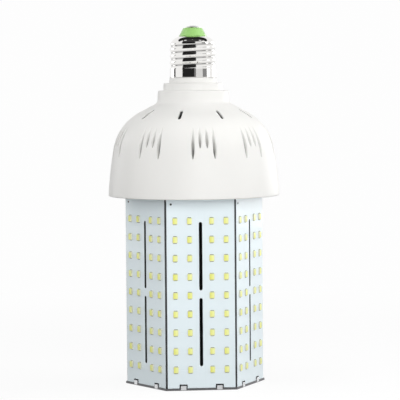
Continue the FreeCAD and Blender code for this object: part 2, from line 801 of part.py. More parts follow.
def driver_board():
    """The round driver board with two flats that leave room for the air."""
    body = new_body("driver_board")
    sketch = new_sketch(body, "XY_Plane", lift=DRIVER_Z)
    reach = f"sqrt({DRIVER_RADIUS} ^ 2 - {DRIVER_FLAT} ^ 2)"
    outline(sketch, [
        (f"-{reach}", f"-{DRIVER_FLAT}"),
        (reach, f"-{DRIVER_FLAT}", DRIVER_RADIUS, "left"),
        (reach, DRIVER_FLAT),
        (f"-{reach}", DRIVER_FLAT, DRIVER_RADIUS, "left"),
    ])
    for along in "-+":
        for across in "-+":
            circle(sketch, f"{along}{FAN_HOLE}", f"{across}{FAN_HOLE}", SCREW_HOLE)
    pad(body, sketch, "driver_thickness")


def transformer():
    """The ferrite frame and the winding that passes through its window."""
    core = new_body("transformer_core")
    foot = DRIVER_TOP
    middle = f"({foot} + core_height / 2)"
    frame = new_sketch(core, "XZ_Plane", lift="-core_depth / 2")
    outline(frame, rectangle("core_x", middle, "core_width", "core_height"))
    window = ["(core_width - 2 * core_leg)", "(core_height - 2 * core_leg)"]
    outline(frame, rectangle("core_x", middle, *window))
    pad(core, frame, "core_depth")
    winding = new_body("transformer_winding")
    block = new_sketch(winding, "XZ_Plane", lift="-winding_depth / 2")
    outline(block, rectangle("core_x", middle, *[f"({side} - 2 * winding_gap)" for side in window]))
    pad(winding, block, "winding_depth")


def capacitor_can(name):
    """An upright capacitor can with a crimped waist and a rounded top edge."""
    radius, height = f"{name}_can_radius", f"{name}_can_height"
    waist = f"({DRIVER_TOP} + can_groove_height)"
    top = f"{DRIVER_TOP} + {height}"
    body = turned_body(f"{name}_capacitor", [
        ("0", DRIVER_TOP),
        (radius, DRIVER_TOP),
        (radius, f"{waist} - can_groove"),
        (f"{radius} - can_groove", waist),
        (radius, f"{waist} + can_groove"),
        (radius, f"{top} - can_edge"),
        (f"{radius} - can_edge", top),
        ("0", top),
    ])
    bind(body, ".Placement.Base.x", f"{name}_can_x")
    bind(body, ".Placement.Base.y", f"{name}_can_y")


def choke_coil():
    """A drum choke with its winding between two flanges."""
    foot = DRIVER_TOP
    top = f"{DRIVER_TOP} + choke_height"
    body = turned_body("choke_coil", [
        ("0", foot),
        ("choke_radius", foot),
        ("choke_radius", f"{foot} + choke_flange"),
        ("choke_waist", f"{foot} + choke_flange"),
        ("choke_waist", f"{top} - choke_flange"),
        ("choke_radius", f"{top} - choke_flange"),
        ("choke_radius", top),
        ("0", top),
    ])
    bind(body, ".Placement.Base.y", "choke_y")


def block(label, x, y, length, width, height):
    """A box on the driver board about a middle, its sizes and place tied to the sheet."""
    box = doc.addObject("Part::Box", f"{label}_block")
    bind(box, "Length", length)
    bind(box, "Width", width)
    bind(box, "Height", height)
    bind(box, ".Placement.Base.x", f"{x} - {length} / 2")
    bind(box, ".Placement.Base.y", f"{y} - {width} / 2")
    bind(box, ".Placement.Base.z", DRIVER_TOP)
    return box


def rectifier():
    """The bridge rectifier, a flat block."""
    box = block("rectifier", "rectifier_x", "0", "rectifier_width", "rectifier_length", "rectifier_height")
    box.Label = "rectifier"
    pieces.append(box)


def film_capacitor():
    """The film capacitor, a block with its upper and upright edges broken."""
    box = block("film_capacitor", "0", "film_y", "film_length", "film_width", "film_height")
    doc.recompute()
    edge = value("film_edge")
    floor = value(DRIVER_TOP)
    edges = enumerate(box.Shape.Edges, start=1)
    broken = [index for index, line in edges if line.BoundBox.ZMax > floor + edge]
    case = doc.addObject("Part::Chamfer", "film_capacitor")
    case.Base = box
    case.Edges = [(index, edge, edge) for index in broken]
    case.Label = "film_capacitor"
    pieces.append(case)


def bent_wire(points, bend):
    """A path of straight runs joined by tangent arcs of one bend radius."""
    edges = []
    start = points[0]
    for before, corner, after in zip(points, points[1:], points[2:]):
        arrive = (corner - before).normalize()
        leave = (after - corner).normalize()
        turn = arrive.getAngle(leave)
        reach = bend * (1 - (arrive * leave)) / abs((arrive.cross(leave)).Length)
        first, last = corner - arrive * reach, corner + leave * reach
        inward = (leave - arrive).normalize()
        depth = (bend ** 2 + reach ** 2) ** 0.5 - bend
        middle = corner + inward * depth
        if turn > 0:
            edges.append(Part.LineSegment(start, first).toShape())
            edges.append(Part.Arc(first, middle, last).toShape())
        start = last
    edges.append(Part.LineSegment(start, points[-1]).toShape())
    return Part.Wire(edges)


def lead(points, radius, bend):
    """A round lead along bent runs, checked against its section times its length."""
    path = bent_wire(points, bend)
    ring = Part.Circle(points[0], points[1] - points[0], radius).toShape()
    tube = path.makePipeShell([Part.Wire(ring)], True, False)
    expected = math.pi * radius ** 2 * path.Length
    if abs(tube.Volume - expected) > 0.02 * expected:
        raise ValueError("a lead's volume does not match its length")
    return tube


def line_lead():
    """From the contact's stem, down the neck with a bend, to the driver board."""
    top, foot = value(STEM_FOOT), value(DRIVER_TOP)
    bend_top = top - value("line_bend_drop")
    offset = value("line_offset")
    points = [
        Vector(0, 0, top),
        Vector(0, 0, bend_top),
        Vector(offset, -offset, bend_top - value("line_bend_length")),
        Vector(offset, -offset, foot),
    ]
    shaped_feature("line_lead", lead(points, value("lead_radius"), value("lead_bend")))


def neutral_lead():
    """From the inside of the screw shell, over the plug's edge and down to the driver board."""
    radius = value("lead_radius")
    level = value(f"{PLUG_TOP} + neutral_rise")
    reach = value("neutral_reach")
    points = [
        Vector(0, value(PLUG) - radius / 2, level),
        Vector(0, reach, level),
        Vector(0, reach, value(DRIVER_TOP)),
    ]
    shaped_feature("neutral_lead", lead(points, radius, value("lead_bend")))


def lead_drop(sign):
    """Where a light board's lead goes down inside the boards: formulas of X and Y."""
    along = f"({PANEL_BACK} - led_lead_run)"
    x = f"{sign} * ({along} * cos(30) + {WIRE_HOLE_X} * sin(30))"
    y = f"{sign} * ({along} * sin(30) - {WIRE_HOLE_X} * cos(30))"
    return x, y


def led_leads():
    """Two leads from the driver board, down past the fan and out into a board's wire hole."""
    height = value(WIRE_HOLE_Z)
    run = value("led_lead_run + panel_thickness / 2")
    tubes = []
    for sign in (1, -1):
        x, y = (value(formula) for formula in lead_drop(sign))
        out = Rotation(UP, 30).multVec(Vector(sign * run, 0, 0))
        corner = Vector(x, y, height)
        points = [Vector(x, y, value(DRIVER_Z)), corner, corner + out]
        tubes.append(lead(points, value("thin_lead_radius"), value("thin_lead_bend")))
    shaped_feature("led_leads", Part.makeCompound(tubes))


def fan_lead():
    """From the notch in the fan's frame, up beside it to the driver board."""
    radius, bend = value("lead_radius"), value("lead_bend")
    side, offset = value("fan_width / 2"), value("fan_notch_offset")
    level = value(f"{CARRIER_TOP} + fan_notch / 2")
    points = [
        Vector(side - radius, offset, level),
        Vector(side + bend, offset, level),
        Vector(side + bend, offset, value(DRIVER_Z)),
    ]
    shaped_feature("fan_lead", lead(points, radius, bend))


def build():
    """Make every sub-part in the order in which the bulb goes together."""
    fill_sheet()
    screw_shell()
    cap_insulator()
    centre_contact()
    dome_housing()
    for side in range(SIDES):
        led_panel(side)
        led_packages(side)
    end_plate()
    carrier_plate()
    shank = "carrier_thickness + boss_length - screw_end_gap"
    screws("carrier_screws", BOSS_TURN, BOSS_CIRCLE, CARRIER_Z, True, shank, "boss_count")
    fan_frame()
    fan_stator()
    fan_rotor()
    board_spacers()
    driver_board()
    shank = "driver_thickness + spacer_length / 2"
    screws("driver_screws", "45", f"{FAN_HOLE} * sqrt(2)", DRIVER_TOP, False, shank, "4")
    transformer()
    for name in ("input", "output"):
        capacitor_can(name)
    rectifier()
    choke_coil()
    film_capacitor()
    line_lead()
    neutral_lead()
    led_leads()
    fan_lead()
    doc.recompute()


def check():
    """Stop if any object failed or any sub-part has no sound shape."""
    for item in doc.Objects:
        if {"Invalid", "Error"} & set(item.State):
            raise ValueError(f"{item.Name} failed: {item.State}")
    for piece in pieces:
        if piece.Shape.isNull() or not piece.Shape.isValid() or not piece.Shape.Solids:
            raise ValueError(f"{piece.Label} has no sound solid")


def write():
    """Write each sub-part under its own name."""
    os.makedirs("parts", exist_ok=True)
    for piece in pieces:
        piece.Shape.exportStep(f"parts/{piece.Label}.step")
        print(piece.Label, len(piece.Shape.Solids), round(piece.Shape.Volume, 2))


build()
check()
write()
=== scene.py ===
import logging
import math
import random
from dataclasses import dataclass, field, replace
from enum import Enum

import bmesh
import bpy
from mathutils import Matrix, Vector


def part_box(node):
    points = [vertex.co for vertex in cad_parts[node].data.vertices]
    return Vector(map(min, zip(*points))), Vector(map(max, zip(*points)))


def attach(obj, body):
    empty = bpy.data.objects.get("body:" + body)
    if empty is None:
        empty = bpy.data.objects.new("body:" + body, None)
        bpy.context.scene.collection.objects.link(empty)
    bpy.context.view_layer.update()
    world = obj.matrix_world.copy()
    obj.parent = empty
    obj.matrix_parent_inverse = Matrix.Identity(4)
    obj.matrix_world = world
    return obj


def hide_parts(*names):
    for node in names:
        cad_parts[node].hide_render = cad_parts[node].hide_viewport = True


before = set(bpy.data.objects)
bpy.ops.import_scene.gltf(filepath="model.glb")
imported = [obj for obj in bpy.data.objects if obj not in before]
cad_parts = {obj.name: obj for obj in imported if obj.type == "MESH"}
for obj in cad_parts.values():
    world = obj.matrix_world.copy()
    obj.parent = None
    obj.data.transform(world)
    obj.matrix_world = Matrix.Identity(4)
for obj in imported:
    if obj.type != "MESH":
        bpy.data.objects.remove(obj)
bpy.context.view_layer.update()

# The looks of a corn-type LED bulb: nickelled screw cap, white vented dome and six LED boards.
# Sizes are millimetres until a mesh is made, which is in metres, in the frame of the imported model.

MM = 0.001
SIDES = 6
BODY = "lamp"
FRONT_TURN = -90.0
FIRST_LED_ROW = 10.2
LED_PITCH = 10.23
BULB_MIDDLE = 102.7

# The drawing helpers: a step between levels that counts as none, the share of a side that a rounding
# may take, and the least cosine by which an inset runs on at a sharp corner.
LEVEL_SLACK = 0.001
ROUNDING_SHARE = 0.49
CORNER_COSINE = 0.3

# The surfaces: the layers of their mottling, the heights of noise that change the gloss, the share by
# which it changes, and the length of a wave in the wave texture at a scale of 1.
MOTTLE_DETAIL = 3.0
GLOSS_HEIGHTS = (0.25, 0.75)
GLOSS_SPREAD = 0.15
WAVE_LENGTH = math.pi / 10.0

Colour = tuple[float, float, float]
Point = tuple[float, float]
Spot = tuple[float, float, float]
Socket = bpy.types.NodeSocket

PURE_WHITE: Colour = (1.0, 1.0, 1.0)
MOULDED_WHITE: Colour = (0.785, 0.78, 0.758)

log = logging.getLogger("corn_bulb")


def smooth_step(low: float, high: float, at: float) -> float:
    """How far a smooth rise from 0 at the low value to 1 at the high one has come at a value."""
    share = min(max((at - low) / (high - low), 0.0), 1.0)
    return share * share * (3.0 - 2.0 * share)


def spread_between(form: tuple[Spot, ...], share: float) -> Point:
    """Read two sizes from a form that gives them at some shares of its length.

    Args:
        form: (share, first size, second size) in rising order
        share: where to read

    Returns:
        The two sizes there.
    """
    for low, high in zip(form, form[1:]):
        if share <= high[0]:
            part = (share - low[0]) / (high[0] - low[0])
            return low[1] + (high[1] - low[1]) * part, low[2] + (high[2] - low[2]) * part
    return form[-1][1], form[-1][2]


def node_box(node: str) -> tuple[Vector, Vector]:
    """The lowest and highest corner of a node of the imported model, in millimetres."""
    low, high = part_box(node)
    return low / MM, high / MM


def rgba(colour: Colour) -> tuple[float, float, float, float]:
    """A colour with full opacity."""
    return (*colour, 1.0)


def shaded(colour: Colour, share: float) -> tuple[float, float, float, float]:
    """A colour made lighter or darker by a share of itself."""
    return rgba(tuple(min(channel * (1.0 + share), 1.0) for channel in colour))


def polar(radius: float, turn: float, height: float) -> Spot:
    """A place round the axis, its turn in radians."""
    return radius * math.cos(turn), radius * math.sin(turn), height


def about_axis(degrees: float) -> Matrix:
    """A turn about the bulb's axis."""
    return Matrix.Rotation(math.radians(degrees), 4, "Z")


def put(name: str, data: bpy.types.ID) -> bpy.types.Object:
    """Put new data into the scene.

    Args:
        name: the name of its object
        data: a mesh, a camera or a light

    Returns:
        The new object.
    """
    thing = bpy.data.objects.new(name, data)
    bpy.context.scene.collection.objects.link(thing)
    return thing


class Grain(Enum):
    """How the fine relief of a surface runs: its stretch along X, Y and Z."""

    MOULDED = (1.0, 1.0, 1.0)
    TURNED = (0.02, 0.02, 1.0)
    DRAWN = (1.0, 1.0, 0.03)
    ROLLED = (0.03, 1.0, 1.0)


class ShaderSheet:
    """The node tree of a material or of the world."""

    def __init__(self, owner: bpy.types.ID) -> None:
        """Open the tree.

        Args:
            owner: the material or the world
        """
        owner.use_nodes = True
        self.owner = owner
        self.tree = owner.node_tree

    def node(self, kind: str, inputs: dict | None = None, **settings: object) -> bpy.types.Node:
        """Add a node.

        Args:
            kind: the node's type
            inputs: values or outputs for its input sockets, by name or number
            settings: values for its properties

        Returns:
            The new node.
        """
        node = self.tree.nodes.new(kind)
        for key, value in settings.items():
            setattr(node, key, value)
        for key, value in (inputs or {}).items():
            self.feed(node.inputs[key], value)
        return node

    def feed(self, socket: Socket, value: object) -> None:
        """Link an output to an input socket, or set the socket's own value.

        Args:
            socket: the input
            value: an output socket, a number or a colour
        """
        if isinstance(value, Socket):
            self.tree.links.new(value, socket)
        else:
            socket.default_value = value

    def set(self, **values: object) -> None:
        """Set inputs of the Principled shader, with _ for a space in their names."""
        for key, value in values.items():
            self.feed(self.tree.nodes["Principled BSDF"].inputs[key.replace("_", " ")], value)

    def place(self, stretch: Spot = (1.0, 1.0, 1.0)) -> Socket:
        """The place on the piece, in metres of its own frame, stretched along each axis."""
        where = self.node("ShaderNodeTexCoord").outputs["Object"]
        return self.node("ShaderNodeMapping", {"Vector": where, "Scale": stretch}).outputs["Vector"]

    def axis(self, where: Socket, letter: str) -> Socket:
        """One axis of a place."""
        return self.node("ShaderNodeSeparateXYZ", {"Vector": where}).outputs[letter]

    def attribute(self, name: str) -> Socket:
        """A value that the points of the mesh hold."""
        return self.node("ShaderNodeAttribute", attribute_name=name).outputs["Fac"]

    def noise(self, where: Socket, size_mm: float, detail: float = 2.0) -> Socket:
        """Soft noise from 0 to 1 at a place, with blots of one size and some finer layers."""
        inputs = {"Vector": where, "Scale": 1.0 / (size_mm * MM), "Detail": detail}
        return self.node("ShaderNodeTexNoise", inputs).outputs["Fac"]

    def blend(self, share: object, first: object, second: object) -> Socket:
        """Mix two colours by the second one's share; each of them is a value or an output."""
        mix = self.node("ShaderNodeMix", {0: share, 6: first, 7: second}, data_type="RGBA")
        return mix.outputs[2]

    def spread(self, value: Socket, span: Point, onto: Point) -> Socket:
        """Spread a value from one span smoothly onto another one, and hold it at its ends."""
        inputs = {"Value": value, 1: span[0], 2: span[1], 3: onto[0], 4: onto[1]}
        return self.node("ShaderNodeMapRange", inputs, interpolation_type="SMOOTHSTEP").outputs["Result"]

    def sum(self, operation: str, first: object, second: object) -> Socket:
        """Work out a sum, such as MULTIPLY, of two numbers or outputs."""
        return self.node("ShaderNodeMath", {0: first, 1: second}, operation=operation).outputs["Value"]

    def relief(self, height: Socket, depth_um: float) -> None:
        """Raise the surface by a height, of which 1 stands for a depth in micrometres."""
        inputs = {"Height": height, "Distance": depth_um * MM * MM, "Strength": 1.0}
        self.set(Normal=self.node("ShaderNodeBump", inputs).outputs["Normal"])

    def close(self, shader: bpy.types.Node) -> None:
        """Show a shader as the surface."""
        ends = [node for node in self.tree.nodes if node.type.startswith("OUTPUT")]
        self.feed(ends[0].inputs["Surface"], shader.outputs[0])


@dataclass(frozen=True)
class Finish:
    """A finish: one base colour with soft mottling, uneven gloss and a fine relief.

    Attributes:
        name: what the finish is called
        colour: its base colour
        roughness: its middle roughness
        metallic: 1 for bare metal, 0 for anything else
        grain: how its fine relief runs
        grain_mm: size of the relief
        relief_um: depth of the relief in micrometres
        mottle: share by which the colour varies
        mottle_mm: size of the blots
        coat: strength of a clear gloss over it
    """

    name: str
    colour: Colour
    roughness: float = 0.4
    metallic: float = 0.0
    grain: Grain = Grain.MOULDED
    grain_mm: float = 0.4
    relief_um: float = 4.0
    mottle: float = 0.05
    mottle_mm: float = 9.0
    coat: float = 0.0

    def material(self) -> bpy.types.Material:
        """The material of this finish, made once."""
        title = f"finish_{self.name}"
        return bpy.data.materials.get(title) or self.make(ShaderSheet(bpy.data.materials.new(title)))

    def make(self, sheet: ShaderSheet) -> bpy.types.Material:
        """Fill a sheet with this finish.

        Args:
            sheet: the sheet of a new material

        Returns:
            The finished material.
        """
        blots = sheet.noise(sheet.place(), self.mottle_mm, MOTTLE_DETAIL)
        grain = sheet.noise(sheet.place(self.grain.value), self.grain_mm)
        gloss = (self.roughness * (1.0 - GLOSS_SPREAD), self.roughness * (1.0 + GLOSS_SPREAD))
        sheet.set(
            Base_Color=self.tint(sheet, blots),
            Roughness=sheet.spread(grain, GLOSS_HEIGHTS, gloss),
            Metallic=self.metallic,
            Coat_Weight=self.coat,
        )
        sheet.relief(self.height(sheet, grain), self.relief_um)
        return sheet.owner

    def tint(self, sheet: ShaderSheet, blots: Socket) -> Socket:
        """The base colour, a little uneven by the soft noise."""
        return sheet.blend(blots, shaded(self.colour, -self.mottle), shaded(self.colour, self.mottle))

    def height(self, sheet: ShaderSheet, grain: Socket) -> Socket:
        """The relief, which is the grain itself."""
        return grain


@dataclass(frozen=True)
class BoardMask(Finish):
    """White solder mask over copper fields that stand a little proud of the gaps between them.

    Attributes:
        row_start_mm: height of the first row of LEDs above the board's foot
        row_pitch_mm: from one row to the next
        gap_mm: width of the gaps between the copper fields
        slot_margin_mm: copper-free strip on either side of the board's middle
        edge_mm: from the board's middle to the copper's outer edge
        gap_share: depth of the gaps as a share of the relief
        slope_mm: width of the slope at the copper's edge
    """

    row_start_mm: float = FIRST_LED_ROW
    row_pitch_mm: float = LED_PITCH
    gap_mm: float = 0.5
    slot_margin_mm: float = 2.0
    edge_mm: float = 17.6
    gap_share: float = 0.9
    slope_mm: float = 0.15

    def slope(self, start: float) -> Point:
        """Where a slope at the copper's edge starts and ends."""
        return start, start + self.slope_mm

    def height(self, sheet: ShaderSheet, grain: Socket) -> Socket:
        """The copper fields under the mask, with the grain on top.

        Args:
            sheet: the sheet that is being filled
            grain: output of the fine noise

        Returns:
            The output that holds the height.
        """
        place = sheet.node("ShaderNodeUVMap", uv_map="board").outputs["UV"]
        across = sheet.sum("ABSOLUTE", sheet.axis(place, "X"), 0.0)
        above = sheet.sum("SUBTRACT", sheet.axis(place, "Y"), self.row_start_mm)
        rows = sheet.sum("PINGPONG", above, self.row_pitch_mm / 2.0)
        field_rows = sheet.spread(rows, self.slope(self.gap_mm / 2.0), (0.0, 1.0))
        inner = sheet.spread(across, self.slope(self.slot_margin_mm), (0.0, 1.0))
        outer = sheet.spread(across, self.slope(self.edge_mm), (1.0, 0.0))
        copper = sheet.sum("MULTIPLY", field_rows, sheet.sum("MULTIPLY", inner, outer))
        fine = sheet.sum("MULTIPLY", grain, 1.0 - self.gap_share)
        return sheet.sum("ADD", sheet.sum("MULTIPLY", copper, self.gap_share), fine)


@dataclass(frozen=True)
class RolledThread(Finish):
    """Bright plating with painted shade in the valley of a rolled thread.

    Attributes:
        valley_shade: how much darker the painted shade makes the valley
    """

    valley_shade: float = 0.47

    def tint(self, sheet: ShaderSheet, blots: Socket) -> Socket:
        """The colour of the plating, with painted shade by its depth in the thread."""
        bright = Finish.tint(self, sheet, blots)
        return sheet.blend(sheet.attribute("valley"), bright, shaded(self.colour, -self.valley_shade))


@dataclass(frozen=True)
class VentWall(Finish):
    """The rough cut walls of a vent, with painted shade that deepens towards their foot.

    Attributes:
        unshaded: the colour where the wall has no painted shade
        fade: height up to which the wall has its full painted shade and from which it has none, in metres
    """

    unshaded: Colour = MOULDED_WHITE
    fade: Point = (129.0 * MM, 147.0 * MM)

    def tint(self, sheet: ShaderSheet, blots: Socket) -> Socket:
        """The colour of the wall, its painted shade fading out upwards."""
        share = sheet.spread(sheet.axis(sheet.place(), "Z"), self.fade, (0.0, 1.0))
        return sheet.blend(share, Finish.tint(self, sheet, blots), rgba(self.unshaded))


@dataclass(frozen=True)
class Phosphor(Finish):
    """Yellow phosphor in clear silicone, paler at one side and deeper at the other as painted light, each LED
    a little different from the next.

    Attributes:
        other: the colour at the far end of the LEDs' spread
        blot_share: how much darker than that the blots are
    """

    other: Colour = (0.83, 0.85, 0.13)
    blot_share: float = 0.3

    def tint(self, sheet: ShaderSheet, blots: Socket) -> Socket:
        """The colour of each LED, between the two ends of the spread, which holds its painted side light."""
        even = sheet.blend(sheet.attribute("led_tone_and_side_light"), rgba(self.colour), rgba(self.other))
        return sheet.blend(
            sheet.sum("MULTIPLY", blots, self.mottle), even, shaded(self.other, -self.blot_share))


@dataclass(frozen=True)
class Wound(Finish):
    """Turns of wire or tape laid side by side.

    Attributes:
        pitch_mm: from one turn to the next
        sway: how unevenly the turns lie
    """

    pitch_mm: float = 0.6
    sway: float = 0.4

    def height(self, sheet: ShaderSheet, grain: Socket) -> Socket:
        """The rounded backs of the turns, in place of the grain."""
        inputs = {
            "Vector": sheet.place(), "Scale": WAVE_LENGTH / (self.pitch_mm * MM), "Distortion": self.sway}
        return sheet.node("ShaderNodeTexWave", inputs, bands_direction="Z").outputs["Fac"]


WHITE_PLASTIC = Finish(
    "white_plastic", MOULDED_WHITE, roughness=0.42, grain_mm=0.35, relief_um=2.0, mottle=0.012)
# The inner skin of the dome is near black: painted shade for the dark inside seen through the roof slots.
INNER_SHADE = Finish(
    "inner_shade", (0.10, 0.10, 0.10), roughness=0.7, grain_mm=0.8, relief_um=8.0, mottle=0.15)
# The deep walls of the roof slots are near black as painted shade.
ROOF_SLOT_SHADE = Finish(
    "slot_end", (0.10, 0.10, 0.10), roughness=0.6, relief_um=6.0, mottle=0.15, mottle_mm=3.0)
# The vents carry painted shade: darkest on the floor, lighter on the low walls, lightest on the upper walls,
# each fading to plain white higher up the dome.
VENT_FLOOR = VentWall(
    "vent_floor", (0.33, 0.33, 0.32), roughness=0.6, relief_um=6.0, mottle=0.15, mottle_mm=3.0)
VENT_LOW_SHADE = replace(VENT_FLOOR, name="vent_low_shade", colour=(0.46, 0.455, 0.44))
VENT_WALL = replace(VENT_FLOOR, name="vent_wall", colour=(0.74, 0.735, 0.715), roughness=0.55, mottle=0.1)
# The nickel is darker in the thread's valley as painted shade.
SHELL_NICKEL = RolledThread(
    "bright_nickel", (0.87, 0.86, 0.84), roughness=0.07, metallic=1.0, grain=Grain.TURNED, grain_mm=0.12,
    relief_um=0.25, mottle=0.02, mottle_mm=4.0)
GREEN_INSULATOR = Finish(
    "green_insulator", (0.34, 0.64, 0.19), roughness=0.3, relief_um=1.5, mottle=0.06, coat=0.3)
TIN = Finish(
    "tinned_metal", (0.74, 0.74, 0.72), roughness=0.3, metallic=1.0, grain_mm=0.9, relief_um=12.0)
MASK = BoardMask(
    "white_mask", (0.80, 0.895, 0.932), roughness=0.38, grain_mm=0.25, relief_um=35.0, mottle=0.012,
    coat=0.3)
BOARD_CORE = Finish(
    "cut_board_edge", (0.07, 0.07, 0.075), roughness=0.55, grain=Grain.DRAWN, grain_mm=0.2, relief_um=6.0,
    mottle=0.2)
# The walls of the boards' slots are black as painted shade.
BOARD_SLOT_SHADE = Finish("board_slot_shade", (0.02, 0.02, 0.02), roughness=0.6, relief_um=6.0, mottle=0.15)
LED_CUP = Finish(
    "led_cup", (0.70, 0.68, 0.52), roughness=0.4, grain_mm=0.1, relief_um=1.0, mottle=0.02)
PHOSPHOR = Phosphor(
    "led_phosphor", (0.96, 0.99, 0.46), roughness=0.33, grain_mm=0.08, relief_um=2.0, mottle=0.2,
    mottle_mm=0.5, coat=0.4)
# The LEDs' soldered terminals, darkened as painted shade at each LED's ends.
LED_TERMINAL_SHADE = Finish(
    "led_terminal_shade", (0.24, 0.24, 0.19), roughness=0.45, grain_mm=0.15, relief_um=6.0, mottle=0.2)
# The end sheet is dark as painted shade, while the lugs bent from it stay bright.
SHADED_END_SHEET = Finish(
    "shaded_end_sheet", (0.13, 0.13, 0.135), roughness=0.45, metallic=0.6, grain=Grain.ROLLED, grain_mm=0.25,
    relief_um=4.0, mottle=0.12)
LUG_METAL = Finish(
    "lug_metal", (0.68, 0.69, 0.70), roughness=0.32, metallic=0.85, grain_mm=0.5, relief_um=8.0)
ZINC = Finish(
    "zinc_plate", (0.70, 0.71, 0.72), roughness=0.3, metallic=1.0, grain_mm=0.2, relief_um=2.0)
BLACK_PLASTIC = Finish(
    "black_plastic", (0.035, 0.035, 0.038), roughness=0.45, relief_um=4.0, mottle=0.15)
STATOR_COPPER = Wound(
    "stator_copper", (0.60, 0.27, 0.12), roughness=0.35, metallic=1.0, relief_um=90.0)
YELLOW_TAPE = Wound(
    "yellow_tape", (0.85, 0.62, 0.06), roughness=0.3, relief_um=60.0, mottle=0.08, pitch_mm=2.2)
BRASS = Finish(
    "turned_brass", (0.78, 0.60, 0.28), roughness=0.28, metallic=1.0, grain=Grain.TURNED, grain_mm=0.1,
    relief_um=1.5)
GREEN_LAMINATE = Finish(
    "green_laminate", (0.03, 0.20, 0.08), roughness=0.35, grain_mm=0.6, relief_um=8.0, mottle=0.2)
FERRITE = Finish(
    "ground_ferrite", (0.09, 0.09, 0.095), roughness=0.6, grain_mm=0.3, relief_um=10.0, mottle=0.25)
SLEEVE = Finish(
    "dark_sleeve", (0.03, 0.04, 0.13), roughness=0.3, grain_mm=1.5, relief_um=8.0, mottle=0.1, coat=0.3)
FILM_CASE = Finish(
    "red_case", (0.48, 0.06, 0.035), roughness=0.3, grain_mm=0.8, relief_um=10.0, mottle=0.1)
BROWN_LEAD = Finish("brown_lead", (0.16, 0.07, 0.03), roughness=0.4, relief_um=6.0, mottle=0.1)
BLUE_LEAD = replace(BROWN_LEAD, name="blue_lead", colour=(0.03, 0.12, 0.42))
RED_LEAD = replace(BROWN_LEAD, name="red_lead", colour=(0.48, 0.03, 0.025))
BLACK_LEAD = replace(BROWN_LEAD, name="black_lead", colour=(0.02, 0.02, 0.02))


@dataclass
class Shape:
    """Points in millimetres, the faces between them and the number of each face's finish."""

    points: list[Spot] = field(default_factory=list)
    faces: list[tuple[int, ...]] = field(default_factory=list)
    finishes: list[int] = field(default_factory=list)

    def add_points(self, points: list[Spot]) -> list[int]:
        """Add points.

        Args:
            points: their places

        Returns:
            Their numbers.
        """
        start = len(self.points)
        self.points += points
        return list(range(start, len(self.points)))

    def add_loop(self, loop: list[Point], height: float) -> list[int]:
        """Add the points of a flat loop at a height."""
        return self.add_points([(x, y, height) for x, y in loop])

    def add_face(self, corners: list[int], finish: int = 0) -> None:
        """Add a face between points of this shape, leaving out corners that fall together.

        Args:
            corners: numbers of its points in order
            finish: number of the finish
        """
        kept = [corner for index, corner in enumerate(corners) if corner != corners[index - 1]]
        self.faces.append(tuple(kept))
        self.finishes.append(finish)

    def bridge(self, first: list[int], second: list[int], finish: int = 0) -> None:
        """Close the band between two rings; a ring of one point is a tip.

        Args:
            first: numbers of the points of one ring
            second: numbers of the points of the next ring
            finish: number of the finish
        """
        count = max(len(first), len(second))
        for index in range(count):
            after = (index + 1) % count
            pairs = [(first, index), (first, after), (second, after), (second, index)]
            self.add_face([ring[spot % len(ring)] for ring, spot in pairs], finish)

    def loft(self, rings: list[list[int]]) -> None:
        """Close the bands between rings in a row."""
        for first, second in zip(rings, rings[1:]):
            self.bridge(first, second)

    def join(self, other: "Shape", placing: Matrix) -> None:
        """Add another shape, placed.

        Args:
            other: the shape to add
            placing: where it goes
        """
        start = len(self.points)
        self.points += [tuple(placing @ Vector(point)) for point in other.points]
        self.faces += [tuple(start + corner for corner in face) for face in other.faces]
        self.finishes += other.finishes

    def mesh(self, name: str, finishes: list[Finish], crease: float = 32.0) -> bpy.types.Object:
        """Make the mesh, in metres.

        Args:
            name: the piece's name
            finishes: the finishes that the faces' numbers stand for
            crease: edges that turn more than this angle are sharp

        Returns:
            The new piece, in the scene.
        """
        data = bpy.data.meshes.new(name)
        data.from_pydata([tuple(MM * part for part in point) for point in self.points], [], self.faces)
        data.polygons.foreach_set("material_index", self.finishes)
        work = bmesh.new()
        work.from_mesh(data)
        bmesh.ops.recalc_face_normals(work, faces=work.faces)
        work.to_mesh(data)
        work.free()
        for finish in finishes:
            data.materials.append(finish.material())
        soften(data, crease)
        return put(name, data)


def soften(data: bpy.types.Mesh, crease: float) -> None:
    """Shade a mesh smooth, with sharp edges where it turns more than an angle."""
    data.shade_smooth()
    data.set_sharp_from_angle(angle=math.radians(crease))


def ring(radius: float, height: float, segments: int) -> list[Spot]:
    """Points round the axis.

    Args:
        radius: distance from the axis; at 0 there is one point
        height: height of the ring
        segments: how many points

    Returns:
        The points in order.
    """
    if radius <= 0.0:
        return [(0.0, 0.0, height)]
    return [polar(radius, 2.0 * math.pi * index / segments, height) for index in range(segments)]


def turned(section: list[Point], segments: int, closed: bool = True, inside: int = 0) -> Shape:
    """Turn a section about the axis.

    Args:
        section: (radius, height) points
        segments: how many faces go round
        closed: whether the last point joins the first
        inside: number of the finish of the bands that run downwards

    Returns:
        The turned shape.
    """
    shape = Shape()
    ends = section[1:] + section[:1] if closed else section[1:]
    rings = [shape.add_points(ring(radius, height, segments)) for radius, height in section]
    for index, end in enumerate(ends):
        finish = inside if end[1] < section[index][1] - LEVEL_SLACK else 0
        shape.bridge(rings[index], rings[(index + 1) % len(rings)], finish)
    return shape


def arc(centre: Point, radius: float, start: float, end: float, steps: int) -> list[Point]:
    """Points along an arc from one angle to another in degrees, both ends included."""
    turns = [math.radians(start + (end - start) * step / steps) for step in range(steps + 1)]
    return [(centre[0] + radius * math.cos(turn), centre[1] + radius * math.sin(turn)) for turn in turns]


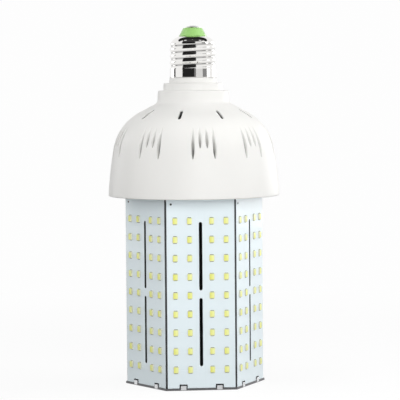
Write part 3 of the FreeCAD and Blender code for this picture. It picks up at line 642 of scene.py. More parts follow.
def arc_through(first: Point, last: Point, radius: float, steps: int) -> list[Point]:
    """An arc between two points, bulging to the right of the way from first to last.

    Args:
        first: where it starts
        last: where it ends
        radius: its radius
        steps: how many spans

    Returns:
        The points, both ends included.
    """
    start, end = Vector(first), Vector(last)
    chord = end - start
    across = Vector((-chord.y, chord.x)).normalized()
    centre = (start + end) / 2.0 + across * math.sqrt(radius ** 2 - (chord.length / 2.0) ** 2)
    angles = [math.degrees(math.atan2(point.y - centre.y, point.x - centre.x)) for point in (start, end)]
    return arc(tuple(centre), radius, *angles, steps)


def rounded(corners: list[tuple[float, ...]], steps: int = 5) -> list[Point]:
    """Round the corners of a closed outline.

    Args:
        corners: (x, y), or (x, y, radius) where a corner is rounded
        steps: how many spans each rounding has

    Returns:
        The outline with its roundings.
    """
    outline = []
    for index, corner in enumerate(corners):
        spot = Vector(corner[:2])
        if len(corner) == 2:
            outline.append(tuple(spot))
            continue
        before = Vector(corners[index - 1][:2]) - spot
        after = Vector(corners[(index + 1) % len(corners)][:2]) - spot
        half = before.angle(after) / 2.0
        reach = min(corner[2] / math.tan(half), before.length * ROUNDING_SHARE, after.length * ROUNDING_SHARE)
        radius = reach * math.tan(half)
        centre = spot + (before.normalized() + after.normalized()).normalized() * (radius / math.sin(half))
        start = spot + before.normalized() * reach - centre
        end = spot + after.normalized() * reach - centre
        sweep = start.angle_signed(end)
        for step in range(steps + 1):
            turn = Matrix.Rotation(-sweep * step / steps, 2)
            outline.append(tuple(centre + turn @ start))
    return outline


def inset(loop: list[Point], distance: float) -> list[Point]:
    """Move a closed loop sideways, to its left.

    Args:
        loop: its points in order
        distance: how far

    Returns:
        The moved loop.
    """
    moved = []
    for index, point in enumerate(loop):
        spot = Vector(point)
        arrive = (spot - Vector(loop[index - 1])).normalized()
        leave = (Vector(loop[(index + 1) % len(loop)]) - spot).normalized()
        sides = [Vector((-way.y, way.x)) for way in (arrive, leave)]
        middle = (sides[0] + sides[1]).normalized()
        moved.append(tuple(spot + middle * (distance / max(middle.dot(sides[0]), CORNER_COSINE))))
    return moved


@dataclass
class Slab:
    """A flat sheet with holes, its front edges broken.

    Attributes:
        outline: the outer loop, counterclockwise
        thickness: from back to front
        edge: width of the broken edge
        holes: inner loops, clockwise
    """

    outline: list[Point]
    thickness: float
    edge: float
    holes: list[list[Point]] = field(default_factory=list)

    def shape(self, front: int = 0, rest: int = 0) -> Shape:
        """The sheet, its back on the plane of the outline.

        Args:
            front: number of the finish of the front and its broken edge
            rest: number of the finish of the walls and the back

        Returns:
            The shape of the sheet.
        """
        shape = Shape()
        rims, feet = [], []
        for loop in [self.outline, *self.holes]:
            levels = [
                (inset(loop, self.edge), self.thickness),
                (loop, self.thickness - self.edge),
                (loop, 0.0),
            ]
            rims_at = [shape.add_loop(line, level) for line, level in levels]
            shape.bridge(rims_at[0], rims_at[1], front)
            shape.bridge(rims_at[1], rims_at[2], rest)
            rims.append(rims_at[0])
            feet.append(rims_at[2])
        for rings, finish in ((rims, front), (feet, rest)):
            for face in filled(shape, rings):
                shape.add_face(face, finish)
        return shape


def filled(shape: Shape, loops: list[list[int]]) -> list[list[int]]:
    """Fill a flat loop that has holes with triangles.

    Args:
        shape: the shape that holds the points
        loops: numbers of the points of the outer loop and of each hole

    Returns:
        The corners of each triangle.
    """
    work = bmesh.new()
    numbers, edges = {}, []
    for loop in loops:
        corners = [work.verts.new(shape.points[number]) for number in loop]
        numbers.update(zip(corners, loop))
        edges += [work.edges.new((corners[index - 1], corner)) for index, corner in enumerate(corners)]
    bmesh.ops.triangle_fill(work, edges=edges, use_beauty=True)
    faces = [[numbers[corner] for corner in face.verts] for face in work.faces]
    work.free()
    return faces


def stadium(x: float, low: float, high: float, radius: float, steps: int = 10) -> list[Point]:
    """A clockwise slot with round ends, between a low and a high end."""
    upper = arc((x, high - radius), radius, 180.0, 0.0, steps)
    return upper + arc((x, low + radius), radius, 0.0, -180.0, steps)


def hold_values(piece: bpy.types.Object, name: str, values: list[float]) -> None:
    """Give each point of a piece a value that its finish reads."""
    piece.data.attributes.new(name, "FLOAT", "POINT").data.foreach_set("value", values)


def keep_piece(piece: bpy.types.Object, slot: str, *nodes: str) -> bpy.types.Object:
    """Attach a piece to the bulb's body and hide the nodes that it stands for.

    Args:
        piece: the new piece
        slot: not used
        nodes: the nodes that it stands for

    Returns:
        The same piece.
    """
    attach(piece, BODY)
    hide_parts(*nodes)
    log.info("%s: %d faces, stands for %s", piece.name, len(piece.data.polygons), ", ".join(nodes))
    return piece


@dataclass
class ScrewCap:
    """The nickelled screw shell, the insulating cone and the contact button."""

    # The shell: its thread, skirt, shoulder and mouth.
    segments: int = 160
    rows: int = 104
    thread_depth: float = 0.85
    thread_pitch: float = 3.63
    crest_turn: float = 174.0
    crest_height: float = 8.315
    skirt_height: float = 4.9
    skirt_blend: float = 0.9
    shoulder: float = 3.4
    slope_curve: float = 7.4
    shoulder_steps: int = 14
    flank: float = 0.93
    fade: float = 1.1
    wall: float = 0.35
    mouth: float = 7.2
    foot_edge: float = 0.2
    shade_start: float = 0.55
    shell_crease: float = 60.0
    # The insulating cone: its bore, its top, its plug and its lip.
    cone_hole: float = 1.65
    cone_top: float = 5.3
    cone_top_round: float = 0.5
    plug_fit: float = 0.05
    lip: float = 0.35
    lip_rise: float = 0.3
    lip_rounds: Spot = (0.12, 0.25, 0.6)
    # The contact: its rivet stem and its button.
    stem: float = 1.6
    button_edge: float = 0.45
    button_foot: Point = (0.15, 0.2)
    button_steps: int = 8
    button_crease: float = 50.0

    def __post_init__(self) -> None:
        """Read the cap's place from the frame."""
        low, high = node_box("screw_shell")
        self.foot, self.top, self.crest = low.z, high.z, high.x
        self.valley = self.crest - self.thread_depth
        self.straight = self.top - self.foot - self.shoulder

    def thread_radius(self, turn: float, height: float) -> float:
        """How far the shell reaches out at one place.

        Args:
            turn: angle about the axis, in degrees
            height: height above the shell's foot

        Returns:
            The radius there.
        """
        phase = (height - self.crest_height) / self.thread_pitch - (turn - self.crest_turn) / 360.0
        wave = math.asin(self.flank * math.cos(2.0 * math.pi * phase)) / math.asin(self.flank)
        knuckle = 0.5 + 0.5 * wave
        knuckle *= 1.0 - smooth_step(self.straight - self.fade, self.straight, height)
        skirt = 1.0 - smooth_step(self.skirt_height, self.skirt_height + self.skirt_blend, height)
        return self.valley + self.thread_depth * max(knuckle, skirt)

    def shell(self) -> Shape:
        """The pressed shell: plain skirt, rounded right-hand thread and a shoulder with a mouth.

        Returns:
            The shape of the shell.
        """
        shape = Shape()
        turns = [360.0 * index / self.segments for index in range(self.segments)]
        rings = [ring(self.crest - self.foot_edge, self.foot, self.segments)]
        for row in range(self.rows + 1):
            height = self.foot_edge + (self.straight - self.foot_edge) * row / self.rows
            rings.append([
                polar(self.thread_radius(turn, height), math.radians(turn), self.foot + height)
                for turn in turns])
        slope_ends = ((self.valley, self.top - self.shoulder), (self.mouth + self.wall, self.top))
        slope = arc_through(*slope_ends, self.slope_curve, self.shoulder_steps)
        section = slope[1:] + [(self.mouth, self.top - self.wall / 2.0), (self.mouth, self.top - self.wall)]
        section += [(radius - self.wall / 2.0, height - self.wall) for radius, height in slope[::-1]]
        section.append((self.valley - self.wall, self.foot))
        rings += [ring(radius, height, self.segments) for radius, height in section]
        numbers = [shape.add_points(line) for line in rings]
        shape.loft(numbers + numbers[:1])
        return shape

    def shade(self, point: Spot) -> float:
        """How deep in the thread's valley a place on the shell lies, which sets its painted shade.

        Args:
            point: the place

        Returns:
            0 on the crest, the skirt and the shoulder, 1 at the bottom of the valley.
        """
        start = self.top - self.shoulder
        depth = (self.crest - math.hypot(point[0], point[1])) / self.thread_depth
        below = 1.0 - smooth_step(start - self.fade, start, point[2])
        return smooth_step(self.shade_start, 1.0, depth) * below

    def insulator(self) -> Shape:
        """The moulded cone with a rounded lip and top edge, and its plug in the shell's mouth.

        Returns:
            The shape of the cone.
        """
        low, high = node_box("cap_insulator")
        plug = self.mouth - self.plug_fit
        under, over, waist = self.lip_rounds
        return turned(rounded([
            (self.cone_hole, low.z),
            (plug, low.z),
            (plug, self.top),
            (high.x, self.top, under),
            (high.x, self.top + self.lip, over),
            (high.x - self.lip, self.top + self.lip + self.lip_rise, waist),
            (self.cone_top, high.z, self.cone_top_round),
            (self.cone_hole, high.z),
        ]), self.segments // 2)

    def contact(self) -> Shape:
        """The tinned contact: a button with a soft solder dome, on its rivet stem.

        Returns:
            The shape of the contact.
        """
        low, high = node_box("centre_contact")
        seat = node_box("cap_insulator")[1].z
        radius, rise = high.x, high.z - seat - self.button_edge
        crown = (radius ** 2 + rise ** 2) / (2.0 * rise)
        lean = math.degrees(math.acos(radius / crown))
        dome = arc((0.0, high.z - crown), crown, lean, 90.0, self.button_steps)[:-1]
        section = [
            (0.0, low.z),
            (self.stem, low.z),
            (self.stem, seat),
            (radius - self.button_foot[0], seat),
            (radius, seat + self.button_foot[1]),
        ]
        return turned(section + dome + [(0.0, high.z)], self.segments // 2, closed=False)

    def build(self) -> None:
        """Make and dress the three pieces of the cap."""
        shell = self.shell()
        piece = shell.mesh("threaded_shell", [SHELL_NICKEL], self.shell_crease)
        # Each point of the shell holds its depth in the valley, which sets the painted shade.
        hold_values(piece, "valley", [self.shade(point) for point in shell.points])
        keep_piece(piece, "nickel_shell", "screw_shell")
        cone = self.insulator().mesh("insulating_cone", [GREEN_INSULATOR])
        keep_piece(cone, "green_insulator", "cap_insulator")
        button = self.contact().mesh("contact_button", [TIN], self.button_crease)
        keep_piece(button, "solder_contact", "centre_contact")


@dataclass
class Dome:
    """The white moulded dome with its stepped neck, fork vents and roof slots."""

    # The turned wall, from the rim up to the plug in the screw shell.
    segments: int = 216
    wall: float = 2.2
    wall_curve: float = 217.0
    shoulder_inset: float = 3.0
    shoulder_rise: float = 26.5
    shoulder_curve: float = 28.35
    shoulder_lean: float = 10.0
    roof_lean: float = 62.4
    neck_radius: float = 20.1
    neck_rise: float = 6.81
    collar_radius: float = 16.65
    collar_rise: float = 4.2
    seat_radius: float = 13.3
    plug_radius: float = 11.85
    plug_height: float = 9.5
    plug_bore: float = 9.0
    # Its roundings and the neck's draft.
    rim_round: float = 0.5
    neck_foot_round: float = 3.0
    neck_draft: float = 0.3
    neck_round: float = 0.9
    collar_foot_round: float = 0.4
    collar_round: float = 0.8
    small_round: float = 0.3
    # How finely it is drawn.
    wall_steps: int = 14
    shoulder_steps: int = 40
    inner_wall_steps: int = 10
    inner_shoulder_steps: int = 24
    crease: float = 28.0
    # The vents: their groups, the steps of a wall as (share of depth, share of half width), the
    # finishes round it, which paint shade that is darkest at the floor, and the forms that spread_between
    # reads.
    vent_groups: int = 9
    vent_phase: float = 1.4
    vent_step: float = 5.1
    vent_rise: float = 12.4
    vent_over: float = 0.7
    vent_levels: int = 18
    vent_wall: tuple[Point, ...] = ((0.83, 0.34), (0.45, 0.66), (0.0, 1.0))
    vent_finishes: tuple[int, ...] = (3, 4, 0, 0, 0, 0, 0, 4, 3)
    long_vent_foot: float = -4.4
    short_vent_foot: float = 1.5
    long_vent: tuple[Spot, ...] = (
        (0.0, 0.4, 1.0), (0.08, 1.1, 2.3), (0.2, 1.8, 2.5),
        (0.42, 2.2, 2.1), (0.7, 1.8, 1.0), (1.0, 0.9, 0.02))
    short_vent: tuple[Spot, ...] = (
        (0.0, 0.5, 1.0), (0.1, 1.3, 2.2), (0.26, 1.9, 2.4),
        (0.5, 1.8, 1.6), (0.75, 1.5, 0.7), (1.0, 0.9, 0.02))
    # The roof slots: their ends from the axis, their width and the depth below their edge that is free of
    # painted shade.
    slot_start: float = 27.0
    slot_end: float = 35.2
    slot_width: float = 1.8
    slot_unshaded_depth: float = 0.9

    def __post_init__(self) -> None:
        """Work out the dome's places from the frame."""
        low, high = node_box("dome_housing")
        self.rim, self.rim_radius = low.z, high.x
        self.shoulder = (self.rim_radius - self.shoulder_inset, self.rim + self.shoulder_rise)
        lean = math.radians(self.shoulder_lean)
        self.curve = (
            self.shoulder[0] - self.shoulder_curve * math.cos(lean),
            self.shoulder[1] - self.shoulder_curve * math.sin(lean),
        )
        self.seat = node_box("screw_shell")[0].z

    def roof_height(self, radius: float, curve: float) -> float:
        """The height of the straight roof over a radius.

        Args:
            radius: distance from the axis
            curve: radius of the shoulder that the roof runs into

        Returns:
            The height there.
        """
        lean = math.radians(self.roof_lean)
        edge = self.curve[0] + curve * math.cos(lean)
        return self.curve[1] + curve * math.sin(lean) + (edge - radius) / math.tan(lean)

    def section(self) -> list[Point]:
        """Half section of the wall, its corners rounded as a moulding's are.

        Returns:
            The closed outline, as (radius, height) points.
        """
        neck_foot = self.roof_height(self.neck_radius, self.shoulder_curve)
        neck_top = neck_foot + self.neck_rise
        collar_top = neck_top + self.collar_rise
        plug_top = self.seat + self.plug_height
        inner = self.shoulder_curve - self.wall
        leans = (self.shoulder_lean, self.roof_lean)
        inner_shoulder = arc(self.curve, inner, *leans[::-1], self.inner_shoulder_steps)
        rim_out, rim_in = (self.rim_radius, self.rim), (self.rim_radius - self.wall, self.rim)
        outer = [
            (*rim_out, self.rim_round),
            *arc_through(rim_out, self.shoulder, self.wall_curve, self.wall_steps)[1:],
            *arc(self.curve, self.shoulder_curve, *leans, self.shoulder_steps)[1:],
            (self.neck_radius, neck_foot, self.neck_foot_round),
            (self.neck_radius - self.neck_draft, neck_top, self.neck_round),
            (self.collar_radius, neck_top, self.collar_foot_round),
            (self.collar_radius, collar_top, self.collar_round),
            (self.seat_radius, collar_top, self.small_round),
            (self.seat_radius, self.seat),
        ]
        plug = [
            (self.plug_radius, self.seat),
            (self.plug_radius, plug_top, self.small_round),
            (self.plug_bore, plug_top, self.small_round),
            (self.plug_bore, collar_top - self.wall),
            (self.collar_radius - self.wall, collar_top - self.wall),
            (self.collar_radius - self.wall, neck_top - self.wall),
            (self.neck_radius - self.wall, neck_top - self.wall),
            (self.neck_radius - self.wall, self.roof_height(self.neck_radius - self.wall, inner)),
        ]
        inner_curve = self.wall_curve - self.wall
        inside = arc_through(rim_in, inner_shoulder[-1], inner_curve, self.inner_wall_steps)[::-1][1:-1]
        return rounded([*outer, *plug, *inner_shoulder, *inside, (*rim_in, self.small_round)])

    def roof_skin(self, radius: float) -> float:
        """The height of the roof's or the shoulder's outer skin.

        Args:
            radius: distance from the axis

        Returns:
            The height over that radius.
        """
        reach = radius - self.curve[0]
        if reach < self.shoulder_curve * math.cos(math.radians(self.roof_lean)):
            return self.roof_height(radius, self.shoulder_curve)
        return self.curve[1] + math.sqrt(self.shoulder_curve ** 2 - reach ** 2)

    def skin(self, height: float) -> float:
        """The radius of the shoulder's outer skin at a height."""
        return self.curve[0] + math.sqrt(self.shoulder_curve ** 2 - (height - self.curve[1]) ** 2)

    def vent(self, foot: float, form: tuple[Spot, ...]) -> Shape:
        """A fluted vent: shallow above and deepest near its foot, where it breaks through the wall.

        Args:
            foot: height of its foot above the dome's shoulder
            form: share of its length from the foot, with the width and depth there

        Returns:
            The shape that is cut out, along +X.
        """
        shape, rings = Shape(), []
        for level in range(self.vent_levels + 1):
            share = level / self.vent_levels
            width, depth = spread_between(form, share)
            height = self.shoulder[1] + foot + (self.vent_rise - foot) * share
            skin = self.skin(height)
            half = width / 2.0
            side = [(skin - depth * down, half * across) for down, across in self.vent_wall]
            side.append((skin + self.vent_over, half + self.vent_over / 2.0))
            loop = [(skin - depth, 0.0), *side, *[(x, -y) for x, y in side[::-1]]]
            rings.append(shape.add_loop(loop, height))
        shape.loft(rings)
        for index in range(len(shape.faces)):
            shape.finishes[index] = self.vent_finishes[index % len(self.vent_finishes)]
        shape.add_face(rings[0])
        shape.add_face(rings[-1])
        return shape

    def roof_slot(self) -> Shape:
        """The prism of a roof slot: painted shade below, in finish 1, and plain white near its edge, in
        finish 2.

        Returns:
            The shape that is cut out, along +X.
        """
        shape = Shape()
        upright = stadium(0.0, self.slot_start, self.slot_end, self.slot_width / 2.0)
        loop = [(y, x) for x, y in upright]
        edges = [self.roof_skin(math.hypot(*point)) for point in loop]
        rings = [
            shape.add_points([(*point, edge + level) for point, edge in zip(loop, edges)])
            for level in (-self.neck_rise, -self.slot_unshaded_depth, self.neck_rise)]
        shape.bridge(rings[0], rings[1], 1)
        shape.bridge(rings[1], rings[2], 2)
        shape.add_face(rings[0], 1)
        shape.add_face(rings[2], 1)
        return shape

    def cutters(self) -> Shape:
        """Every vent and roof slot, in its place.

        Returns:
            The shape of all that is cut out of the dome.
        """
        shape, slot = Shape(), self.roof_slot()
        long_vent = self.vent(self.long_vent_foot, self.long_vent)
        short_vent = self.vent(self.short_vent_foot, self.short_vent)
        vents = {-1.5: long_vent, -0.5: short_vent, 0.5: short_vent, 1.5: long_vent}
        step = 360.0 / self.vent_groups
        for group in range(self.vent_groups):
            turn = FRONT_TURN + self.vent_phase + step * group
            for offset, vent in vents.items():
                shape.join(vent, about_axis(turn + offset * self.vent_step))
            shape.join(slot, about_axis(turn + step / 2.0))
        return shape

    def build(self) -> None:
        """Make the dome, cut its vents and dress it."""
        solid = turned(self.section(), self.segments, inside=1)
        # The wall's inside takes the near-black painted shade.
        blank = solid.mesh("dome_blank", [WHITE_PLASTIC, INNER_SHADE])
        # The cut faces of the vents and roof slots carry painted shade.
        cut_finishes = [VENT_WALL, ROOF_SLOT_SHADE, WHITE_PLASTIC, VENT_FLOOR, VENT_LOW_SHADE]
        tool = self.cutters().mesh("dome_cutters", cut_finishes)
        cut = blank.modifiers.new("vents", "BOOLEAN")
        cut.material_mode = "TRANSFER"
        cut.operation, cut.solver, cut.object = "DIFFERENCE", "EXACT", tool
        bpy.context.view_layer.update()
        result = blank.evaluated_get(bpy.context.evaluated_depsgraph_get())
        data = bpy.data.meshes.new_from_object(result)
        for helper in (blank, tool):
            bpy.data.objects.remove(helper)
        data.name = "vented_dome"
        soften(data, self.crease)
        keep_piece(put(data.name, data), "white_plastic", "dome_housing")


@dataclass
class LightBoards:
    """The six white boards with their slots, notches and wire holes."""

    edge: float = 0.12
    # The air slots, the notches for the lugs and the wire hole.
    slot_width: float = 1.8
    slot_length: float = 37.5
    slot_foot: float = 12.1
    slot_gap: float = 4.3
    notch_offset: float = 10.0
    notch_width: float = 4.4
    notch_height: float = 2.1
    wire_hole_radius: float = 0.6
    wire_hole_inset: float = 2.5
    wire_hole_drop: float = 5.0
    wire_hole_steps: int = 20

    def __post_init__(self) -> None:
        """Read the front board's place from the frame."""
        low, high = node_box("led_panel_1")
        self.half, self.foot, self.top = high.x, low.z, high.z
        self.front, self.back = -low.y, -high.y

    def placing(self, side: int) -> Matrix:
        """Where the back of a side's board has its foot, with Z out of the board; side 0 is the front."""
        stand = Matrix(((1, 0, 0, 0), (0, 0, -1, -self.back), (0, 1, 0, self.foot), (0, 0, 0, 1)))
        return about_axis(360.0 / SIDES * side) @ stand

    def plate(self) -> Shape:
        """One board in its own frame: X across, Y up from its foot and Z out of its back.

        Returns:
            The board: finish 0 is its front, 1 its edges and back, 2 the walls of its slots, black as painted
                shade.
        """
        height = self.top - self.foot
        half = self.notch_width / 2.0
        edges = [sign * self.notch_offset + step * half for sign in (-1, 1) for step in (-1, 1)]
        lower = [(-self.half, 0.0)]
        for index, x in enumerate(edges):
            pair = [(x, 0.0), (x, self.notch_height)]
            lower += pair if index % 2 == 0 else pair[::-1]
        outline = lower + [(self.half, 0.0), (self.half, height), (-self.half, height)]
        holes = []
        for step in (0, 1):
            low = self.slot_foot + step * (self.slot_length + self.slot_gap)
            holes.append(stadium(0.0, low, low + self.slot_length, self.slot_width / 2.0))
        hole = (self.wire_hole_inset - self.half, height - self.wire_hole_drop)
        holes.append(arc(hole, self.wire_hole_radius, 360.0, 0.0, self.wire_hole_steps)[:-1])
        shape = Slab(outline, self.front - self.back, self.edge, holes).shape(0, 1)
        for index, face in enumerate(shape.faces):
            reach = max(abs(shape.points[corner][0]) for corner in face)
            if shape.finishes[index] == 1 and reach < self.slot_width:
                shape.finishes[index] = 2
        return shape

    def build(self) -> None:
        """Make and dress the six boards."""
        plate = self.plate()
        for side in range(SIDES):
            shape = Shape()
            shape.join(plate, self.placing(side))
            piece = shape.mesh(f"light_board_{side + 1}", [MASK, BOARD_CORE, BOARD_SLOT_SHADE])
            places = piece.data.uv_layers.new(name="board")
            for loop in piece.data.loops:
                places.data[loop.index].uv = plate.points[loop.vertex_index][:2]
            keep_piece(piece, "white_board", f"led_panel_{side + 1}")


@dataclass
class LedGroups:
    """The LED packages of each board: moulded cup, yellow phosphor and soldered terminals."""

    boards: LightBoards
    # One package.
    width: float = 2.8
    height: float = 3.5
    thick: float = 0.68
    draft: float = 0.05
    edge: float = 0.06
    edge_round: float = 0.12
    rim: float = 0.12
    corner: float = 0.3
    corner_steps: int = 3
    fill_drop: float = 0.06
    fill_slope: float = 0.06
    crown_inset: float = 0.5
    # The places on a board.
    rows: int = 9
    columns: tuple[float, ...] = (-14.05, -6.1, 6.1, 14.05)
    # The soldered terminals.
    terminal_width: float = 2.0
    terminal_reach: float = 0.32
    terminal_height: float = 0.3
    terminal_land: float = 0.1
    terminal_toe: float = 0.03
    terminal_falls: Point = (0.8, 0.4)
    # The spread of the yellow from LED to LED, and across each a painted light that makes its one side paler.
    tone_span: Point = (0.3, 0.7)
    side_light_slope: float = 0.8
    seed: int = 7

    def outline(self, inset_by: float, corner: float) -> list[Point]:
        """The package's outline, moved in.

        Args:
            inset_by: how far it is moved in
            corner: radius of its corners

        Returns:
            The closed outline.
        """
        x, y = self.width / 2.0 - inset_by, self.height / 2.0 - inset_by
        corners = [(-x, -y, corner), (x, -y, corner), (x, y, corner), (-x, y, corner)]
        return rounded(corners, self.corner_steps)

    def package(self) -> Shape:
        """One package, its back on the board.

        Returns:
            The package: finish 0 is the cup, 1 the phosphor, 2 the terminals.
        """
        shape = Shape()
        levels = [
            (0.0, self.edge_round, 0.0),
            (self.draft, self.edge_round, self.thick - self.edge),
            (self.draft + self.edge, self.edge_round, self.thick),
            (self.rim, self.corner, self.thick),
            (self.rim + self.fill_slope, self.corner, self.thick - self.fill_drop),
        ]
        rings = [shape.add_loop(self.outline(*sizes), level) for *sizes, level in levels]
        shape.loft(rings)
        inner = self.outline(self.rim + self.crown_inset, self.corner)
        crown = shape.add_loop(inner, self.thick - self.fill_drop / 2.0)
        shape.bridge(rings[-1], crown, 1)
        shape.bridge(crown, shape.add_points([(0.0, 0.0, self.thick - self.fill_drop / 3.0)]), 1)
        for sign in (-1.0, 1.0):
            self.terminal(shape, sign)
        return shape

    def terminal(self, shape: Shape, sign: float) -> None:
        """Add the terminal and its solder at one end of a package.

        Args:
            shape: the package
            sign: which end
        """
        wall = sign * (self.height / 2.0 - self.draft / 2.0)
        toe = sign * (self.height / 2.0 + self.terminal_reach)
        upper, lower = (self.terminal_height * share for share in self.terminal_falls)
        section = [
            (wall, 0.0),
            (wall, self.terminal_height),
            (wall + sign * self.terminal_land, upper),
            ((wall + toe) / 2.0, lower),
            (toe, self.terminal_toe),
            (toe, 0.0),
        ]
        half = self.terminal_width / 2.0
        ends = [shape.add_points([(x, y, z) for y, z in section]) for x in (-half, half)]
        shape.bridge(ends[0], ends[1], 2)
        for end in ends:
            shape.add_face(end, 2)

    def build(self) -> None:
        """Make and dress the LEDs of the six boards."""
        package = self.package()
        dice = random.Random(self.seed)
        lift = self.boards.front - self.boards.back
        for side in range(SIDES):
            shape, tones = Shape(), []
            for row in range(self.rows):
                for column in self.columns:
                    spot = Matrix.Translation((column, FIRST_LED_ROW + row * LED_PITCH, lift))
                    shape.join(package, self.boards.placing(side) @ spot)
                    tone = dice.uniform(*self.tone_span)
                    # Each point holds its LED's tone, with a painted light that makes the LED's one side
                    # paler.
                    tones += [tone - self.side_light_slope * point[0] / self.width for point in package.points]
            piece = shape.mesh(f"led_group_{side + 1}", [LED_CUP, PHOSPHOR, LED_TERMINAL_SHADE])
            hold_values(piece, "led_tone_and_side_light", tones)
            keep_piece(piece, "led_package", f"led_packages_{side + 1}")


@dataclass
class EndPlate:
    """The six-sided end plate with its bent lugs in the boards' notches."""

    boards: LightBoards
    edge: float = 0.18
    lug_gap: float = 0.65
    lug_round: float = 0.35
    lug_proud: float = 0.02
    lug_edge: float = 0.12

    def build(self) -> None:
        """Make and dress the plate with its twelve lugs."""
        high = node_box("end_plate")[1]
        loop = arc((0.0, 0.0), high.x, 0.0, 360.0, SIDES)[:-1]
        shape = Slab(loop, self.boards.foot, self.edge).shape()
        half = self.boards.notch_width / 2.0 - self.lug_gap
        top = high.z - self.boards.foot
        foot = self.edge - self.boards.foot
        tab = [(-half, foot), (half, foot), (half, top, self.lug_round), (-half, top, self.lug_round)]
        face = high.x * math.cos(math.pi / SIDES) + self.lug_proud
        lug = Slab(rounded(tab), face - self.boards.back, self.lug_edge).shape(1, 1)
        for side in range(SIDES):
            for sign in (-1.0, 1.0):
                spot = Matrix.Translation((sign * self.boards.notch_offset, 0.0, 0.0))
                shape.join(lug, self.boards.placing(side) @ spot)
        piece = shape.mesh("lugged_end_plate", [SHADED_END_SHEET, LUG_METAL])
        keep_piece(piece, "end_metal", "end_plate")


@dataclass
class InnerWorks:
    """The pieces that keep their packed form: the carrier, the fan, the driver and the leads."""

    finishes: dict[str, Finish] = field(default_factory=lambda: {
        "carrier_plate": WHITE_PLASTIC,
        "carrier_screws": ZINC,
        "fan_frame": BLACK_PLASTIC,
        "fan_stator": STATOR_COPPER,
        "fan_rotor": BLACK_PLASTIC,
        "board_spacers": BRASS,
        "driver_board": GREEN_LAMINATE,
        "driver_screws": ZINC,
        "transformer_core": FERRITE,
        "transformer_winding": YELLOW_TAPE,
        "input_capacitor": SLEEVE,
        "output_capacitor": SLEEVE,
        "rectifier": BLACK_PLASTIC,
        "choke_coil": STATOR_COPPER,
        "film_capacitor": FILM_CASE,
        "line_lead": BROWN_LEAD,
        "neutral_lead": BLUE_LEAD,
        "led_leads": RED_LEAD,
        "fan_lead": BLACK_LEAD,
    })

    def dress(self) -> None:
        """Give each node its finish."""
        for node, finish in self.finishes.items():
            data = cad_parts[node].data
            data.materials.clear()
            data.materials.append(finish.material())
            log.info("%s: dressed in %s", node, finish.name)


@dataclass(frozen=True)
class SoftLamp:
    """A soft square lamp.

    Attributes:
        name: what it is called
        azimuth: degrees to the right of the camera
        elevation: degrees above the floor
        reach: distance in metres
        size: side in metres
        power: watts
        aim: height of the place that it looks at, in millimetres
        mirrored: whether gloss and metal show it
    """

    name: str
    azimuth: float
    elevation: float
    reach: float
    size: float
    power: float
    aim: float = BULB_MIDDLE
    mirrored: bool = True


@dataclass(frozen=True)
class MirrorCard:
    """A card round the bulb that only mirrors show.

    Attributes:
        name: what it is called
        tone: how light it is
        rows: (height, left, right) of the card from its foot up, in degrees
        reach: distance in metres
    """

    name: str
    tone: float
    rows: tuple[Spot, ...]
    reach: float = 0.95


